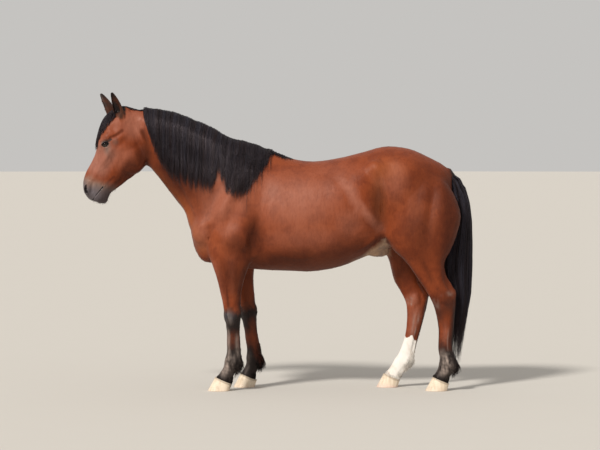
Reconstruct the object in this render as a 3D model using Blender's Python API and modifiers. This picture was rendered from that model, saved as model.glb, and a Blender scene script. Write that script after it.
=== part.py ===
import math

import bmesh
import bpy
import numpy as np
from mathutils import Euler, Matrix, Vector

# A bay horse, standing square. Metres; it faces -X, its left side is -Y, and it stands on Z = 0.

WITHERS_HEIGHT = 1.45      # driving size: top of the withers above the floor
DRAWN_HEIGHT = 1.45        # the withers height that the tables below are drawn at
BARREL = 0.278             # half width of the barrel, which the trunk and neck widths are fractions of
HEAD = 0.096               # half width of the head across the cheeks
HEAD_YAW = 6.0             # degrees that the head turns to its left
POLL = (-0.860, 0.0, 1.660)
GAP = 0.0003               # clearance of each thin cut
VOXEL = 0.009              # grid that melts the masses into one body
FLESH_FACES = 4600         # triangles of the whole body before it is parted
HEAD_BACK, LEG_TOP = -0.800, 0.700    # ahead of the one and below the other the triangles are finer
SIDES = {'left': -1, 'right': 1}

# Trunk sections: x, top z, bottom z, half width / BARREL, fullness of top and bottom, extra width below
TRUNK = [(-0.520, 1.060, 0.930, 0.28, 2.0, 2.0, 0.00),
         (-0.490, 1.150, 0.830, 0.52, 2.0, 2.2, 0.00),
         (-0.420, 1.270, 0.772, 0.68, 1.9, 2.1, 0.00),
         (-0.300, 1.390, 0.750, 0.77, 1.8, 2.1, 0.00),
         (-0.180, 1.444, 0.732, 0.83, 1.7, 2.1, 0.05),
         (-0.060, 1.454, 0.722, 0.90, 1.65, 2.1, 0.07),
         (0.080, 1.407, 0.717, 0.96, 1.85, 2.1, 0.05),
         (0.220, 1.387, 0.714, 1.00, 2.05, 2.1, 0.03),
         (0.380, 1.408, 0.742, 0.99, 2.15, 2.1, 0.02),
         (0.520, 1.443, 0.797, 0.94, 2.15, 2.1, -0.02),
         (0.660, 1.478, 0.850, 0.88, 2.1, 2.1, -0.06),
         (0.800, 1.465, 0.880, 0.81, 2.1, 2.0, -0.08),
         (0.920, 1.415, 0.920, 0.68, 2.1, 2.0, -0.05),
         (1.010, 1.366, 0.980, 0.50, 2.0, 2.0, 0.00),
         (1.060, 1.316, 1.060, 0.29, 2.0, 2.0, 0.00)]

# Neck sections: crest x, z, throat x, z, half width / BARREL, fullness of crest and throat, extra width below
NECK = [(0.020, 1.394, -0.400, 0.800, 0.68, 1.7, 2.2, 0.10),
        (-0.100, 1.466, -0.493, 0.896, 0.66, 1.7, 2.2, 0.10),
        (-0.200, 1.491, -0.534, 0.987, 0.59, 1.7, 2.2, 0.12),
        (-0.310, 1.521, -0.561, 1.077, 0.50, 1.8, 2.2, 0.12),
        (-0.420, 1.580, -0.618, 1.156, 0.43, 1.9, 2.2, 0.10),
        (-0.530, 1.628, -0.677, 1.231, 0.37, 2.0, 2.2, 0.08),
        (-0.635, 1.664, -0.726, 1.297, 0.335, 2.0, 2.2, 0.04),
        (-0.730, 1.684, -0.767, 1.343, 0.31, 2.0, 2.2, 0.00),
        (-0.810, 1.690, -0.795, 1.365, 0.29, 2.0, 2.2, 0.00),
        (-0.880, 1.697, -0.850, 1.440, 0.265, 2.0, 2.2, 0.00)]

# Head sections: face x, z, jaw x, z, half width / HEAD, fullness of face and jaw, extra width at the jaw
HEAD_ROWS = [(-0.905, 1.708, -0.840, 1.600, 0.52, 2.0, 2.0, 0.00),
             (-0.960, 1.700, -0.815, 1.540, 0.73, 2.2, 2.0, 0.00),
             (-1.030, 1.650, -0.800, 1.470, 0.88, 2.4, 2.0, -0.05),
             (-1.066, 1.585, -0.785, 1.410, 0.98, 2.6, 2.0, -0.12),
             (-1.091, 1.500, -0.800, 1.355, 1.00, 2.6, 2.0, -0.15),
             (-1.103, 1.438, -0.850, 1.303, 0.85, 2.4, 2.0, -0.05),
             (-1.126, 1.385, -0.905, 1.259, 0.69, 2.3, 2.0, 0.00),
             (-1.154, 1.335, -0.955, 1.219, 0.57, 2.3, 2.0, 0.00),
             (-1.171, 1.295, -0.992, 1.193, 0.52, 2.3, 2.0, 0.00),
             (-1.180, 1.250, -1.014, 1.169, 0.54, 2.3, 2.1, 0.00),
             (-1.175, 1.200, -1.024, 1.146, 0.52, 2.3, 2.1, 0.00),
             (-1.147, 1.158, -1.050, 1.134, 0.38, 2.2, 2.1, 0.00),
             (-1.110, 1.140, -1.080, 1.134, 0.16, 2.0, 2.0, 0.00)]

# Limb sections: place along the joints, half depth, half width, tilt in degrees (the back lower)
FORE = [(0.00, 0.120, 0.070, 0), (0.50, 0.142, 0.086, 0), (1.00, 0.112, 0.069, 0),
        (1.35, 0.088, 0.060, 0), (1.70, 0.071, 0.052, 0), (2.05, 0.061, 0.046, 0),
        (2.50, 0.055, 0.042, 0), (2.90, 0.052, 0.045, 0), (3.25, 0.046, 0.041, 0),
        (3.60, 0.0415, 0.030, 0), (4.00, 0.0425, 0.0265, 0), (4.50, 0.0445, 0.0275, 0),
        (4.95, 0.054, 0.036, 8), (5.35, 0.044, 0.034, 22), (5.70, 0.045, 0.040, 30), (6.00, 0.047, 0.045, 36),
        (6.90, 0.036, 0.036, 34)]
HIND = [(0.00, 0.110, 0.060, -3), (0.45, 0.205, 0.105, -4), (1.00, 0.242, 0.118, -3),
        (1.50, 0.220, 0.112, -2), (2.00, 0.174, 0.096, 0), (2.35, 0.124, 0.078, 0),
        (2.70, 0.097, 0.066, -4), (3.10, 0.085, 0.056, -8), (3.55, 0.080, 0.048, -14),
        (4.00, 0.076, 0.047, -16), (4.35, 0.066, 0.046, -12), (4.75, 0.056, 0.037, -6),
        (5.20, 0.048, 0.030, -2), (5.65, 0.0445, 0.028, 0), (6.10, 0.046, 0.030, 2),
        (6.60, 0.051, 0.034, 4), (7.00, 0.059, 0.038, 8), (7.40, 0.050, 0.037, 20), (7.80, 0.046, 0.041, 28),
        (8.00, 0.047, 0.045, 34), (8.90, 0.036, 0.036, 34)]

# Joint centres of each limb in the side view, from the body down to the coronet and into the hoof
FORE_JOINTS = {
    'left': [(-0.290, 0.960), (-0.276, 0.760), (-0.274, 0.585), (-0.266, 0.435), (-0.263, 0.300),
             (-0.266, 0.172), (-0.322, 0.062), (-0.340, 0.030)],
    'right': [(-0.285, 0.960), (-0.246, 0.755), (-0.200, 0.580), (-0.174, 0.430), (-0.156, 0.295),
              (-0.140, 0.170), (-0.184, 0.060), (-0.194, 0.030)]}
HIND_JOINTS = {
    'left': [(0.830, 1.330), (0.868, 1.060), (0.876, 0.850), (0.938, 0.690), (1.007, 0.560),
             (1.022, 0.400), (1.017, 0.260), (1.036, 0.160), (0.985, 0.066), (0.975, 0.030)],
    'right': [(0.820, 1.330), (0.850, 1.060), (0.815, 0.850), (0.800, 0.680), (0.857, 0.546),
              (0.842, 0.390), (0.810, 0.262), (0.777, 0.166), (0.706, 0.066), (0.690, 0.030)]}
FORE_SPREAD = [0.125, 0.150, 0.140, 0.131, 0.126, 0.123, 0.120, 0.120]   # distance of those joints from the middle
HIND_SPREAD = [0.100, 0.135, 0.142, 0.132, 0.124, 0.120, 0.118, 0.118, 0.118, 0.118]

# Hooves: middle of the sole, length and half width of the sole, height, and how far the wall leans forward
HOOF_AT = {'fore_left': (-0.352, -0.120), 'fore_right': (-0.203, 0.120),
           'hind_left': (0.963, -0.118), 'hind_right': (0.674, 0.118)}
HOOF = {'length': 0.132, 'half_width': 0.060, 'toe': 0.084, 'heel': 0.043, 'lean_toe': 0.047, 'lean_heel': 0.012}

# Muscles and other single masses: centre, half sizes, turn in degrees, on both sides where y is not 0
MASSES = {
    'scapula': ((-0.270, 0.118, 1.160), (0.130, 0.095, 0.270), (6, 22, 0)),
    'triceps': ((-0.260, 0.160, 0.930), (0.145, 0.080, 0.145), (0, 10, 0)),
    'shoulder_point': ((-0.425, 0.112, 0.985), (0.085, 0.085, 0.120), (0, 20, 0)),
    'pectoral': ((-0.412, 0.068, 0.870), (0.080, 0.070, 0.100), (0, 0, 0)),
    'hip': ((0.610, 0.150, 1.300), (0.120, 0.085, 0.105), (0, 0, 0)),
    'cheek': ((-0.905, 0.044, 1.415), (0.108, 0.050, 0.112), (0, -35, 0)),
    'brow': ((-1.030, 0.066, 1.524), (0.045, 0.027, 0.026), (0, -50, 0)),
    'orbit': ((-1.046, 0.060, 1.490), (0.034, 0.031, 0.030), (0, 0, 0)),
    'nostril': ((-1.146, 0.034, 1.216), (0.026, 0.022, 0.038), (0, 10, 0)),
    'sheath': ((0.590, 0.0, 0.850), (0.095, 0.052, 0.046), (0, 12, 0))}

HEAD_MASSES = ('cheek', 'brow', 'orbit', 'nostril')

EYE = {'at': (-1.048, 0.0695, 1.493), 'radius': 0.0225}
# Ears: root and tip of each, and the way that their cups open, in degrees out from straight ahead
EAR_AT = {'left': ((-0.966, -0.052, 1.655), (-1.011, -0.066, 1.803)),
          'right': ((-0.990, 0.052, 1.650), (-1.062, 0.070, 1.794))}
EAR = {'half_width': 0.031, 'half_depth': 0.021, 'opens': 50.0, 'cup': 0.70, 'cup_shift': 0.011}

MANE_DEPTH = 0.022         # the hair stands this far off the flesh
FORELOCK_DEPTH = 0.021
# Lower edge of the mane in the side view, from the poll to the withers, with the tips of its main locks
MANE_EDGE = [(-0.812, 1.660), (-0.775, 1.564), (-0.740, 1.459), (-0.699, 1.376), (-0.643, 1.286),
             (-0.524, 1.217), (-0.469, 1.188), (-0.392, 1.181), (-0.358, 1.258), (-0.330, 1.250),
             (-0.281, 1.132), (-0.212, 1.108), (-0.165, 1.150), (-0.110, 1.190), (-0.062, 1.255),
             (-0.032, 1.365), (-0.024, 1.446)]
MANE_TOP = 1.800           # above the crest; the depth of the hair bounds it there
# Edge of the forelock in the front view, as y and z, from the poll down its left side and up its right
FORELOCK_EDGE = [(-0.034, 1.800), (-0.034, 1.690), (-0.062, 1.610), (-0.066, 1.545), (-0.044, 1.486),
                 (-0.022, 1.500), (-0.008, 1.462), (0.010, 1.505), (0.028, 1.540), (0.036, 1.610),
                 (0.026, 1.690), (0.026, 1.800)]
FORELOCK_REACH = (-1.300, -0.918)     # from ahead of the brow to the poll
# Tail sections: height, front x, back x, half width
TAIL = [(1.352, 0.985, 1.062, 0.028), (1.300, 1.010, 1.107, 0.040), (1.223, 1.040, 1.142, 0.052),
        (1.126, 1.058, 1.170, 0.061), (1.022, 1.062, 1.182, 0.067), (0.895, 1.052, 1.185, 0.072),
        (0.786, 1.036, 1.187, 0.073), (0.583, 1.050, 1.184, 0.070), (0.478, 1.064, 1.163, 0.064),
        (0.367, 1.074, 1.143, 0.054), (0.240, 1.084, 1.128, 0.038), (0.130, 1.094, 1.114, 0.018)]

# Cuts that part the body, as outlines in the side view
HEAD_CUT = [(-1.300, 0.900), (-0.775, 1.280), (-0.900, 1.800), (-1.300, 1.900)]
NECK_CUT = [(-0.900, 1.270), (-0.610, 0.960), (-0.060, 1.560), (-0.300, 1.800), (-0.950, 1.800)]
FORE_CUT = [(-0.480, -0.050), (-0.030, -0.050), (-0.030, 0.560), (-0.105, 0.720), (-0.140, 0.790), (-0.480, 0.790)]
HIND_CUT = [(0.560, -0.050), (1.250, -0.050), (1.250, 1.080), (0.720, 0.800), (0.560, 0.797)]
FORE_INNER = 0.030         # the cut of a foreleg starts this far from the middle
HIND_INNER = 0.00015       # the two hind legs share one cut on the middle plane
OUTER = 0.450

COLOURS = {'coat': (0.245, 0.075, 0.035, 0.42), 'black_hair': (0.012, 0.011, 0.013, 0.45),
           'dark_skin': (0.060, 0.045, 0.040, 0.55), 'horn': (0.62, 0.50, 0.37, 0.50),
           'eye': (0.015, 0.008, 0.005, 0.08)}

body = bpy.data.collections.new('horse')
helpers = bpy.data.collections.new('horse_cutters')


def start():
    for obj in list(bpy.data.objects):
        bpy.data.objects.remove(obj)
    for group in (body, helpers):
        bpy.context.scene.collection.children.link(group)


def add(name, mesh):
    obj = bpy.data.objects.new(name, mesh)
    helpers.objects.link(obj)
    obj.hide_render = True
    obj.display_type = 'WIRE'
    return obj


def make(name, bm):
    bmesh.ops.recalc_face_normals(bm, faces=bm.faces)
    mesh = bpy.data.meshes.new(name)
    bm.to_mesh(mesh)
    bm.free()
    return add(name, mesh)


def smooth_rows(rows, steps):
    """Catmull-Rom rows between the given ones."""
    rows = np.array(rows, float)
    held = np.vstack([2 * rows[0] - rows[1], rows, 2 * rows[-1] - rows[-2]])
    dense = []
    for a, b, c, d in zip(held, held[1:], held[2:], held[3:]):
        for t in np.arange(steps) / steps:
            dense.append(0.5 * (2 * b + (c - a) * t + (2 * a - 5 * b + 4 * c - d) * t * t
                                + (3 * b - a - 3 * c + d) * t ** 3))
    dense.append(rows[-1])
    return np.array(dense)


def section(row, sides):
    """Closed ring between a front point and a back point, rounder or fuller at each end."""
    front_x, front_z, back_x, back_z, y, width, full_front, full_back, taper = row
    half = math.hypot(back_x - front_x, back_z - front_z) / 2
    angle = np.arange(sides) * 2 * math.pi / sides
    full = np.where(np.cos(angle) < 0, full_front, full_back)
    along = np.sign(np.cos(angle)) * np.abs(np.cos(angle)) ** (2 / full)
    across = np.sign(np.sin(angle)) * np.abs(np.sin(angle)) ** (2 / full) * width * (1 + taper * along)
    x = (front_x + back_x) / 2 + (back_x - front_x) / 2 * along
    z = (front_z + back_z) / 2 + (back_z - front_z) / 2 * along
    return np.stack([x, y + across, z], axis=1)


def skin_over(name, rings):
    """A closed body through rings of equal size."""
    bm = bmesh.new()
    loops = [[bm.verts.new(point) for point in ring] for ring in rings]
    for lower, upper in zip(loops, loops[1:]):
        for i in range(len(lower)):
            bm.faces.new((lower[i - 1], lower[i], upper[i], upper[i - 1]))
    bm.faces.new(loops[0])
    bm.faces.new(loops[-1])
    return make(name, bm)


def loft(name, rows, sides=36, steps=5):
    return skin_over(name, [section(row, sides) for row in smooth_rows(rows, steps)])


def ball(name, centre, half_sizes, turn=(0, 0, 0), detail=3):
    bm = bmesh.new()
    bmesh.ops.create_icosphere(bm, subdivisions=detail, radius=1)
    angles = Euler([math.radians(a) for a in turn])
    place = Matrix.LocRotScale(Vector(centre), angles, Vector(half_sizes))
    bmesh.ops.transform(bm, matrix=place, verts=bm.verts)
    return make(name, bm)


def prism(name, outline, low, high, grow=0.0, front_view=False):
    """Solid over an outline, in the side view or in the front view, grown on every side."""
    points = np.array(outline, float)
    edge = np.roll(points, -1, axis=0) - points
    area = np.sum(edge[:, 1] * points[:, 0] - edge[:, 0] * points[:, 1])
    normal = np.stack([edge[:, 1], -edge[:, 0]], axis=1) * math.copysign(1, area)
    normal /= np.linalg.norm(normal, axis=1)[:, None]
    before = np.roll(normal, 1, axis=0)
    points = points + grow * (normal + before) / (1 + np.sum(normal * before, axis=1))[:, None]
    bm = bmesh.new()
    if front_view:
        base = [bm.verts.new((low - grow, u, v)) for u, v in points]
        push = (high - low + 2 * grow, 0, 0)
    else:
        base = [bm.verts.new((u, low - grow, v)) for u, v in points]
        push = (0, high - low + 2 * grow, 0)
    made = bmesh.ops.extrude_face_region(bm, geom=[bm.faces.new(base)])['geom']
    moved = [v for v in made if isinstance(v, bmesh.types.BMVert)]
    bmesh.ops.translate(bm, vec=push, verts=moved)
    return make(name, bm)


def evaluated(obj):
    graph = bpy.context.evaluated_depsgraph_get()
    mesh = bpy.data.meshes.new_from_object(obj.evaluated_get(graph))
    obj.modifiers.clear()
    return mesh


def cut(obj, tool, operation='DIFFERENCE', name=None):
    """A new object: obj with the tool taken away, or what the two share."""
    result = add(name or obj.name + '_cut', obj.data.copy())
    boolean = result.modifiers.new('cut', 'BOOLEAN')
    boolean.operation = operation
    boolean.object = tool
    result.data = evaluated(result)
    bm = bmesh.new()
    bm.from_mesh(result.data)
    bmesh.ops.remove_doubles(bm, verts=bm.verts, dist=0.1 * GAP)
    bmesh.ops.dissolve_degenerate(bm, edges=bm.edges, dist=0.1 * GAP)
    bm.to_mesh(result.data)
    bm.free()
    return result


def grown(obj, distance, name='grown'):
    """A copy with each point moved out along its normal."""
    mesh = obj.data.copy()
    for vertex, normal in zip(mesh.vertices, [v.normal.copy() for v in mesh.vertices]):
        vertex.co += normal * distance
    return add(name, mesh)


def melt(parts, faces):
    """Joins overlapping masses into one smooth body."""
    joined = bmesh.new()
    for part in parts:
        joined.from_mesh(part.data)
    whole = make('flesh', joined)
    remesh = whole.modifiers.new('melt', 'REMESH')
    remesh.mode = 'VOXEL'
    remesh.voxel_size = VOXEL
    soften = whole.modifiers.new('soften', 'SMOOTH')
    soften.factor = 0.5
    soften.iterations = 6
    whole.data = evaluated(whole)
    fine = whole.vertex_groups.new(name='fine')
    for vertex in whole.data.vertices:
        x, _, z = vertex.co
        fine.add([vertex.index], 0.4 if x < HEAD_BACK else 0.3 if z < LEG_TOP else 0.0, 'REPLACE')
    thin = whole.modifiers.new('thin', 'DECIMATE')
    thin.vertex_group = 'fine'
    thin.invert_vertex_group = True
    thin.vertex_group_factor = 0.2
    thin.ratio = faces / (2 * len(whole.data.polygons))
    thin.use_collapse_triangulate = True
    whole.data = evaluated(whole)
    return whole


def limb(name, joints, spread, profile, side):
    path = smooth_rows([(x, side * y, z) for (x, z), y in zip(joints, spread)], 20)
    rows = []
    for place, depth, width, tilt in profile:
        x, y, z = path[round(place * 20)]
        lean = math.radians(tilt)
        dx, dz = depth * math.cos(lean), depth * math.sin(lean)
        rows.append((x - dx, z + dz, x + dx, z - dz, y, width, 2.2, 2.2, 0))
    return loft(name, rows, sides=28)


def turn_head(objs):
    """The head and all it carries turn about the poll."""
    place = Matrix.Translation(POLL) @ Matrix.Rotation(math.radians(HEAD_YAW), 4, 'Z')
    for obj in objs:
        obj.data.transform(place @ Matrix.Translation(POLL).inverted())


def build_flesh():
    parts = [loft('trunk_mass', [(x, top, x, low, 0, w * BARREL, ft, fb, extra)
                                 for x, top, low, w, ft, fb, extra in TRUNK]),
             loft('neck_mass', [(ax, az, bx, bz, 0, w * BARREL, fa, fb, extra)
                                for ax, az, bx, bz, w, fa, fb, extra in NECK])]
    head = [loft('head_mass', [(ax, az, bx, bz, 0, w * HEAD, fa, fb, extra)
                               for ax, az, bx, bz, w, fa, fb, extra in HEAD_ROWS])]
    for word, side in SIDES.items():
        parts.append(limb('fore_' + word, FORE_JOINTS[word], FORE_SPREAD, FORE, side))
        parts.append(limb('hind_' + word, HIND_JOINTS[word], HIND_SPREAD, HIND, side))
    for name, ((x, y, z), half_sizes, (roll, pitch, yaw)) in MASSES.items():
        for side in ((-1, 1) if y else (1,)):
            mass = ball(name, (x, side * y, z), half_sizes, (side * roll, pitch, side * yaw))
            (head if name in HEAD_MASSES else parts).append(mass)
    turn_head(head)
    return melt(parts + head, FLESH_FACES)


def build_hooves():
    hooves = {}
    for place, (x, y) in HOOF_AT.items():
        rows = []
        for up in (0.0, 0.35, 0.7, 1.0):
            front = x - HOOF['length'] / 2 + HOOF['lean_toe'] * up
            back = x + HOOF['length'] / 2 + HOOF['lean_heel'] * up
            width = HOOF['half_width'] * (1 - 0.22 * up)
            rows.append((front, HOOF['toe'] * up, back, HOOF['heel'] * up, y, width, 2.1, 2.8, 0.0))
        hooves[place] = loft('hoof_' + place, rows, sides=20, steps=1)
    return hooves


def build_ear(word, near_flesh):
    root, tip = (Vector(point) for point in EAR_AT[word])
    turn = math.radians(EAR['opens']) * SIDES[word]
    axis = (tip - root).normalized()
    opening = Vector((-math.cos(turn), math.sin(turn), 0))
    opening = (opening - axis * opening.dot(axis)).normalized()
    across = axis.cross(opening)
    # place from root to tip, share of the half width, share of the half depth, bow to the back
    shape = [(-0.12, 0.66, 0.95, 0.000), (0.14, 0.88, 1.00, 0.003), (0.38, 1.00, 0.92, 0.006),
             (0.62, 0.86, 0.70, 0.005), (0.82, 0.54, 0.44, 0.002), (0.95, 0.22, 0.22, 0.0), (1.0, 0.06, 0.08, 0.0)]
    solids = []
    for size, shift, reach in ((1.0, 0.0, 1.0), (EAR['cup'], EAR['cup_shift'], 0.90)):
        rings = []
        for at, wide, deep, bow in shape:
            middle = root.lerp(tip, at * reach) + opening * (shift - bow)
            ring = []
            for i in range(14):
                angle = i * 2 * math.pi / 14
                ring.append(middle + across * (math.cos(angle) * wide * size * EAR['half_width'])
                            + opening * (math.sin(angle) * deep * size * EAR['half_depth']))
            rings.append(ring)
        solids.append(skin_over('ear', rings))
    turn_head(solids)
    return cut(cut(solids[0], solids[1]), near_flesh)


def finish(obj, name, look):
    obj.name = name
    helpers.objects.unlink(obj)
    body.objects.link(obj)
    obj.hide_render = False
    obj.display_type = 'TEXTURED'
    red, green, blue, roughness = COLOURS[look]
    material = bpy.data.materials.new(name)
    material.use_nodes = True
    shader = material.node_tree.nodes['Principled BSDF']
    shader.inputs['Base Color'].default_value = (red, green, blue, 1)
    shader.inputs['Roughness'].default_value = roughness
    obj.data.materials.clear()
    obj.data.materials.append(material)
    obj.data.shade_smooth()


def place_on_origin():
    """Sets the real size, with the origin on the floor under the middle of the whole box."""
    points = np.array([vertex.co for obj in body.objects for vertex in obj.data.vertices])
    middle = (points.min(axis=0) + points.max(axis=0)) / 2
    shift = Matrix.Translation((-middle[0], -middle[1], 0))
    for obj in body.objects:
        obj.data.transform(Matrix.Scale(WITHERS_HEIGHT / DRAWN_HEIGHT, 4) @ shift)


def main():
    start()
    flesh = build_flesh()
    near_flesh = grown(flesh, 1.6 * GAP, 'near_flesh')
    hooves = build_hooves()

    # hair lies on the flesh: a shell of its depth inside its outline
    mane_zone = prism('mane_zone', MANE_EDGE + [(-0.020, MANE_TOP), (-0.820, MANE_TOP)], -OUTER, 0.016)
    mane_shell = cut(grown(flesh, MANE_DEPTH, 'mane_shell'), mane_zone, 'INTERSECT')
    lock_zone = prism('forelock_zone', FORELOCK_EDGE, *FORELOCK_REACH, front_view=True)
    turn_head([lock_zone])
    lock_shell = cut(grown(flesh, FORELOCK_DEPTH, 'lock_shell'), lock_zone, 'INTERSECT')
    tail = loft('tail_mass', [(front, z, back, z, 0, width, 2.2, 2.2, 0) for z, front, back, width in TAIL],
                sides=24, steps=1)
    lock = cut(lock_shell, near_flesh)
    for word, side in SIDES.items():
        ear = build_ear(word, near_flesh)
        lock = cut(lock, grown(ear, 1.6 * GAP))
        finish(ear, 'ear_' + word, 'dark_skin')
    finish(lock, 'forelock', 'black_hair')
    finish(cut(mane_shell, near_flesh), 'mane', 'black_hair')
    finish(cut(tail, near_flesh), 'tail', 'black_hair')

    rest = flesh
    for place, hoof in hooves.items():
        rest = cut(rest, grown(hoof, 1.6 * GAP))
        finish(hoof, 'hoof_' + place, 'horn')
    for word, side in SIDES.items():
        x, y, z = EYE['at']
        eye = ball('eye_' + word, (x, side * y, z), (EYE['radius'],) * 3, detail=2)
        turn_head([eye])
        rest = cut(rest, grown(eye, 1.6 * GAP))
        finish(eye, 'eye_' + word, 'eye')

    zones = [('head', HEAD_CUT, -OUTER, OUTER), ('neck', NECK_CUT, -OUTER, OUTER)]
    for name, outline, inner in (('foreleg', FORE_CUT, FORE_INNER), ('hindleg', HIND_CUT, HIND_INNER)):
        zones.append((name + '_left', outline, -OUTER, -inner))
        zones.append((name + '_right', outline, inner, OUTER))
    for name, outline, low, high in zones:
        piece = cut(rest, prism(name + '_zone', outline, low, high), 'INTERSECT')
        rest = cut(rest, prism(name + '_kerf', outline, low, high, grow=GAP))
        finish(piece, name, 'coat')
    finish(rest, 'trunk', 'coat')
    place_on_origin()


main()
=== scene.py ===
import math

import bmesh
import bpy
import numpy as np
from mathutils import Euler, Matrix, Vector
from mathutils.bvhtree import BVHTree


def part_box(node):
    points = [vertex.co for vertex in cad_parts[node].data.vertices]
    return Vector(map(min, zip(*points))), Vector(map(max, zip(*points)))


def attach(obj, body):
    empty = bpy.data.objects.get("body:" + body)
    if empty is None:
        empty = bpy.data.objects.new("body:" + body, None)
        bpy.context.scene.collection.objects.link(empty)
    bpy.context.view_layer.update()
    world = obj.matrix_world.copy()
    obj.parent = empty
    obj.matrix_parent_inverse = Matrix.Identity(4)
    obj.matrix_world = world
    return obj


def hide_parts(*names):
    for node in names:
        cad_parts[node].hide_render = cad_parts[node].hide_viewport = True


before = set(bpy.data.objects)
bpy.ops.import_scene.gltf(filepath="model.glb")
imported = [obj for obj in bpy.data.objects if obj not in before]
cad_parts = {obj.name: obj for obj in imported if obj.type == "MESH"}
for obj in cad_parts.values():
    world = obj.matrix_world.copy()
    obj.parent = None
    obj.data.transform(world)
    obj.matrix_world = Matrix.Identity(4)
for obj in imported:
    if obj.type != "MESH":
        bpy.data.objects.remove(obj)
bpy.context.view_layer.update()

rng = np.random.default_rng(11)
sides = {'left': -1, 'right': 1}  # the left side is -Y

# shapes are written with the withers at 1.45 m and an origin of their own, drawnShift brings them in place
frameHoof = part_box('hoof_fore_left')

body = {
    'barrel': 0.278,  # half width of the barrel; trunk and neck widths are shares of it
    # x, top z, bottom z, half width, fullness of top and bottom, extra width below
    'trunk': [(-0.52, 1.06, 0.93, 0.28, 2.0, 2.0, 0.0),
              (-0.49, 1.15, 0.83, 0.52, 2.0, 2.2, 0.0),
              (-0.42, 1.27, 0.772, 0.68, 1.9, 2.1, 0.0),
              (-0.3, 1.39, 0.75, 0.77, 1.8, 2.1, 0.0),
              (-0.18, 1.444, 0.732, 0.83, 1.7, 2.1, 0.05),
              (-0.06, 1.454, 0.722, 0.9, 1.65, 2.1, 0.07),
              (0.08, 1.407, 0.717, 0.96, 1.85, 2.1, 0.05),
              (0.22, 1.387, 0.714, 1.0, 2.05, 2.1, 0.03),
              (0.38, 1.408, 0.742, 0.99, 2.15, 2.1, 0.02),
              (0.52, 1.443, 0.797, 0.94, 2.15, 2.1, -0.02),
              (0.66, 1.478, 0.85, 0.88, 2.1, 2.1, -0.06),
              (0.8, 1.465, 0.88, 0.81, 2.1, 2.0, -0.08),
              (0.92, 1.415, 0.92, 0.68, 2.1, 2.0, -0.05),
              (1.01, 1.366, 0.98, 0.5, 2.0, 2.0, 0.0),
              (1.06, 1.316, 1.06, 0.29, 2.0, 2.0, 0.0)],
    # crest x, z, throat x, z, half width, fullness of crest and throat, extra width below
    'neck': [(0.02, 1.394, -0.4, 0.8, 0.68, 1.7, 2.2, 0.1),
             (-0.1, 1.466, -0.493, 0.896, 0.66, 1.7, 2.2, 0.1),
             (-0.2, 1.491, -0.534, 0.987, 0.59, 1.7, 2.2, 0.12),
             (-0.31, 1.521, -0.561, 1.077, 0.5, 1.8, 2.2, 0.12),
             (-0.42, 1.58, -0.618, 1.156, 0.43, 1.9, 2.2, 0.1),
             (-0.53, 1.628, -0.677, 1.231, 0.37, 2.0, 2.2, 0.08),
             (-0.635, 1.664, -0.726, 1.297, 0.335, 2.0, 2.2, 0.04),
             (-0.73, 1.684, -0.767, 1.343, 0.31, 2.0, 2.2, 0.0),
             (-0.81, 1.69, -0.795, 1.365, 0.29, 2.0, 2.2, 0.0),
             (-0.88, 1.697, -0.85, 1.44, 0.265, 2.0, 2.2, 0.0)],
    'dock': [(1.02, 1.345, 0.036), (1.062, 1.29, 0.03), (1.092, 1.21, 0.026), (1.108, 1.12, 0.021),
             (1.112, 1.05, 0.013)],
    # centre, half sizes, turn in degrees; both sides where y is not 0
    'masses': {'scapula': ((-0.27, 0.118, 1.16), (0.13, 0.095, 0.27), (6, 22, 0)),
               'triceps': ((-0.26, 0.16, 0.93), (0.145, 0.08, 0.145), (0, 10, 0)),
               'shoulderPoint': ((-0.425, 0.112, 0.985), (0.085, 0.085, 0.12), (0, 20, 0)),
               'pectoral': ((-0.412, 0.068, 0.87), (0.08, 0.07, 0.1), (0, 0, 0)),
               'hip': ((0.61, 0.15, 1.3), (0.12, 0.085, 0.105), (0, 0, 0)),
               'sheath': ((0.59, 0.0, 0.85), (0.095, 0.052, 0.046), (0, 12, 0))}}

head = {
    'width': 0.096,  # half width across the cheeks
    'yaw': 6.0,  # degrees that the head turns to its left, about the poll
    'poll': (-0.86, 0.0, 1.66),
    # face x, z, jaw x, z, half width, fullness of face and jaw, extra width at the jaw
    'rows': [(-0.905, 1.708, -0.84, 1.6, 0.52, 2.0, 2.0, 0.0),
             (-0.96, 1.7, -0.815, 1.54, 0.73, 2.2, 2.0, 0.0),
             (-1.03, 1.65, -0.8, 1.47, 0.88, 2.4, 2.0, -0.05),
             (-1.066, 1.585, -0.785, 1.41, 0.98, 2.6, 2.0, -0.12),
             (-1.091, 1.5, -0.8, 1.355, 1.0, 2.6, 2.0, -0.15),
             (-1.103, 1.438, -0.85, 1.303, 0.85, 2.4, 2.0, -0.05),
             (-1.126, 1.385, -0.905, 1.259, 0.69, 2.3, 2.0, 0.0),
             (-1.154, 1.335, -0.955, 1.219, 0.57, 2.3, 2.0, 0.0),
             (-1.171, 1.295, -0.992, 1.193, 0.52, 2.3, 2.0, 0.0),
             (-1.18, 1.25, -1.014, 1.169, 0.54, 2.3, 2.1, 0.0),
             (-1.175, 1.2, -1.024, 1.146, 0.52, 2.3, 2.1, 0.0),
             (-1.147, 1.158, -1.05, 1.134, 0.38, 2.2, 2.1, 0.0),
             (-1.11, 1.14, -1.08, 1.134, 0.16, 2.0, 2.0, 0.0)],
    'masses': {'cheek': ((-0.905, 0.044, 1.415), (0.108, 0.05, 0.112), (0, -35, 0)),
               'brow': ((-1.03, 0.066, 1.524), (0.045, 0.027, 0.026), (0, -50, 0)),
               'orbit': ((-1.046, 0.06, 1.49), (0.034, 0.031, 0.03), (0, 0, 0)),
               'nostril': ((-1.146, 0.034, 1.216), (0.026, 0.022, 0.038), (0, 10, 0))}}

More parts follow.
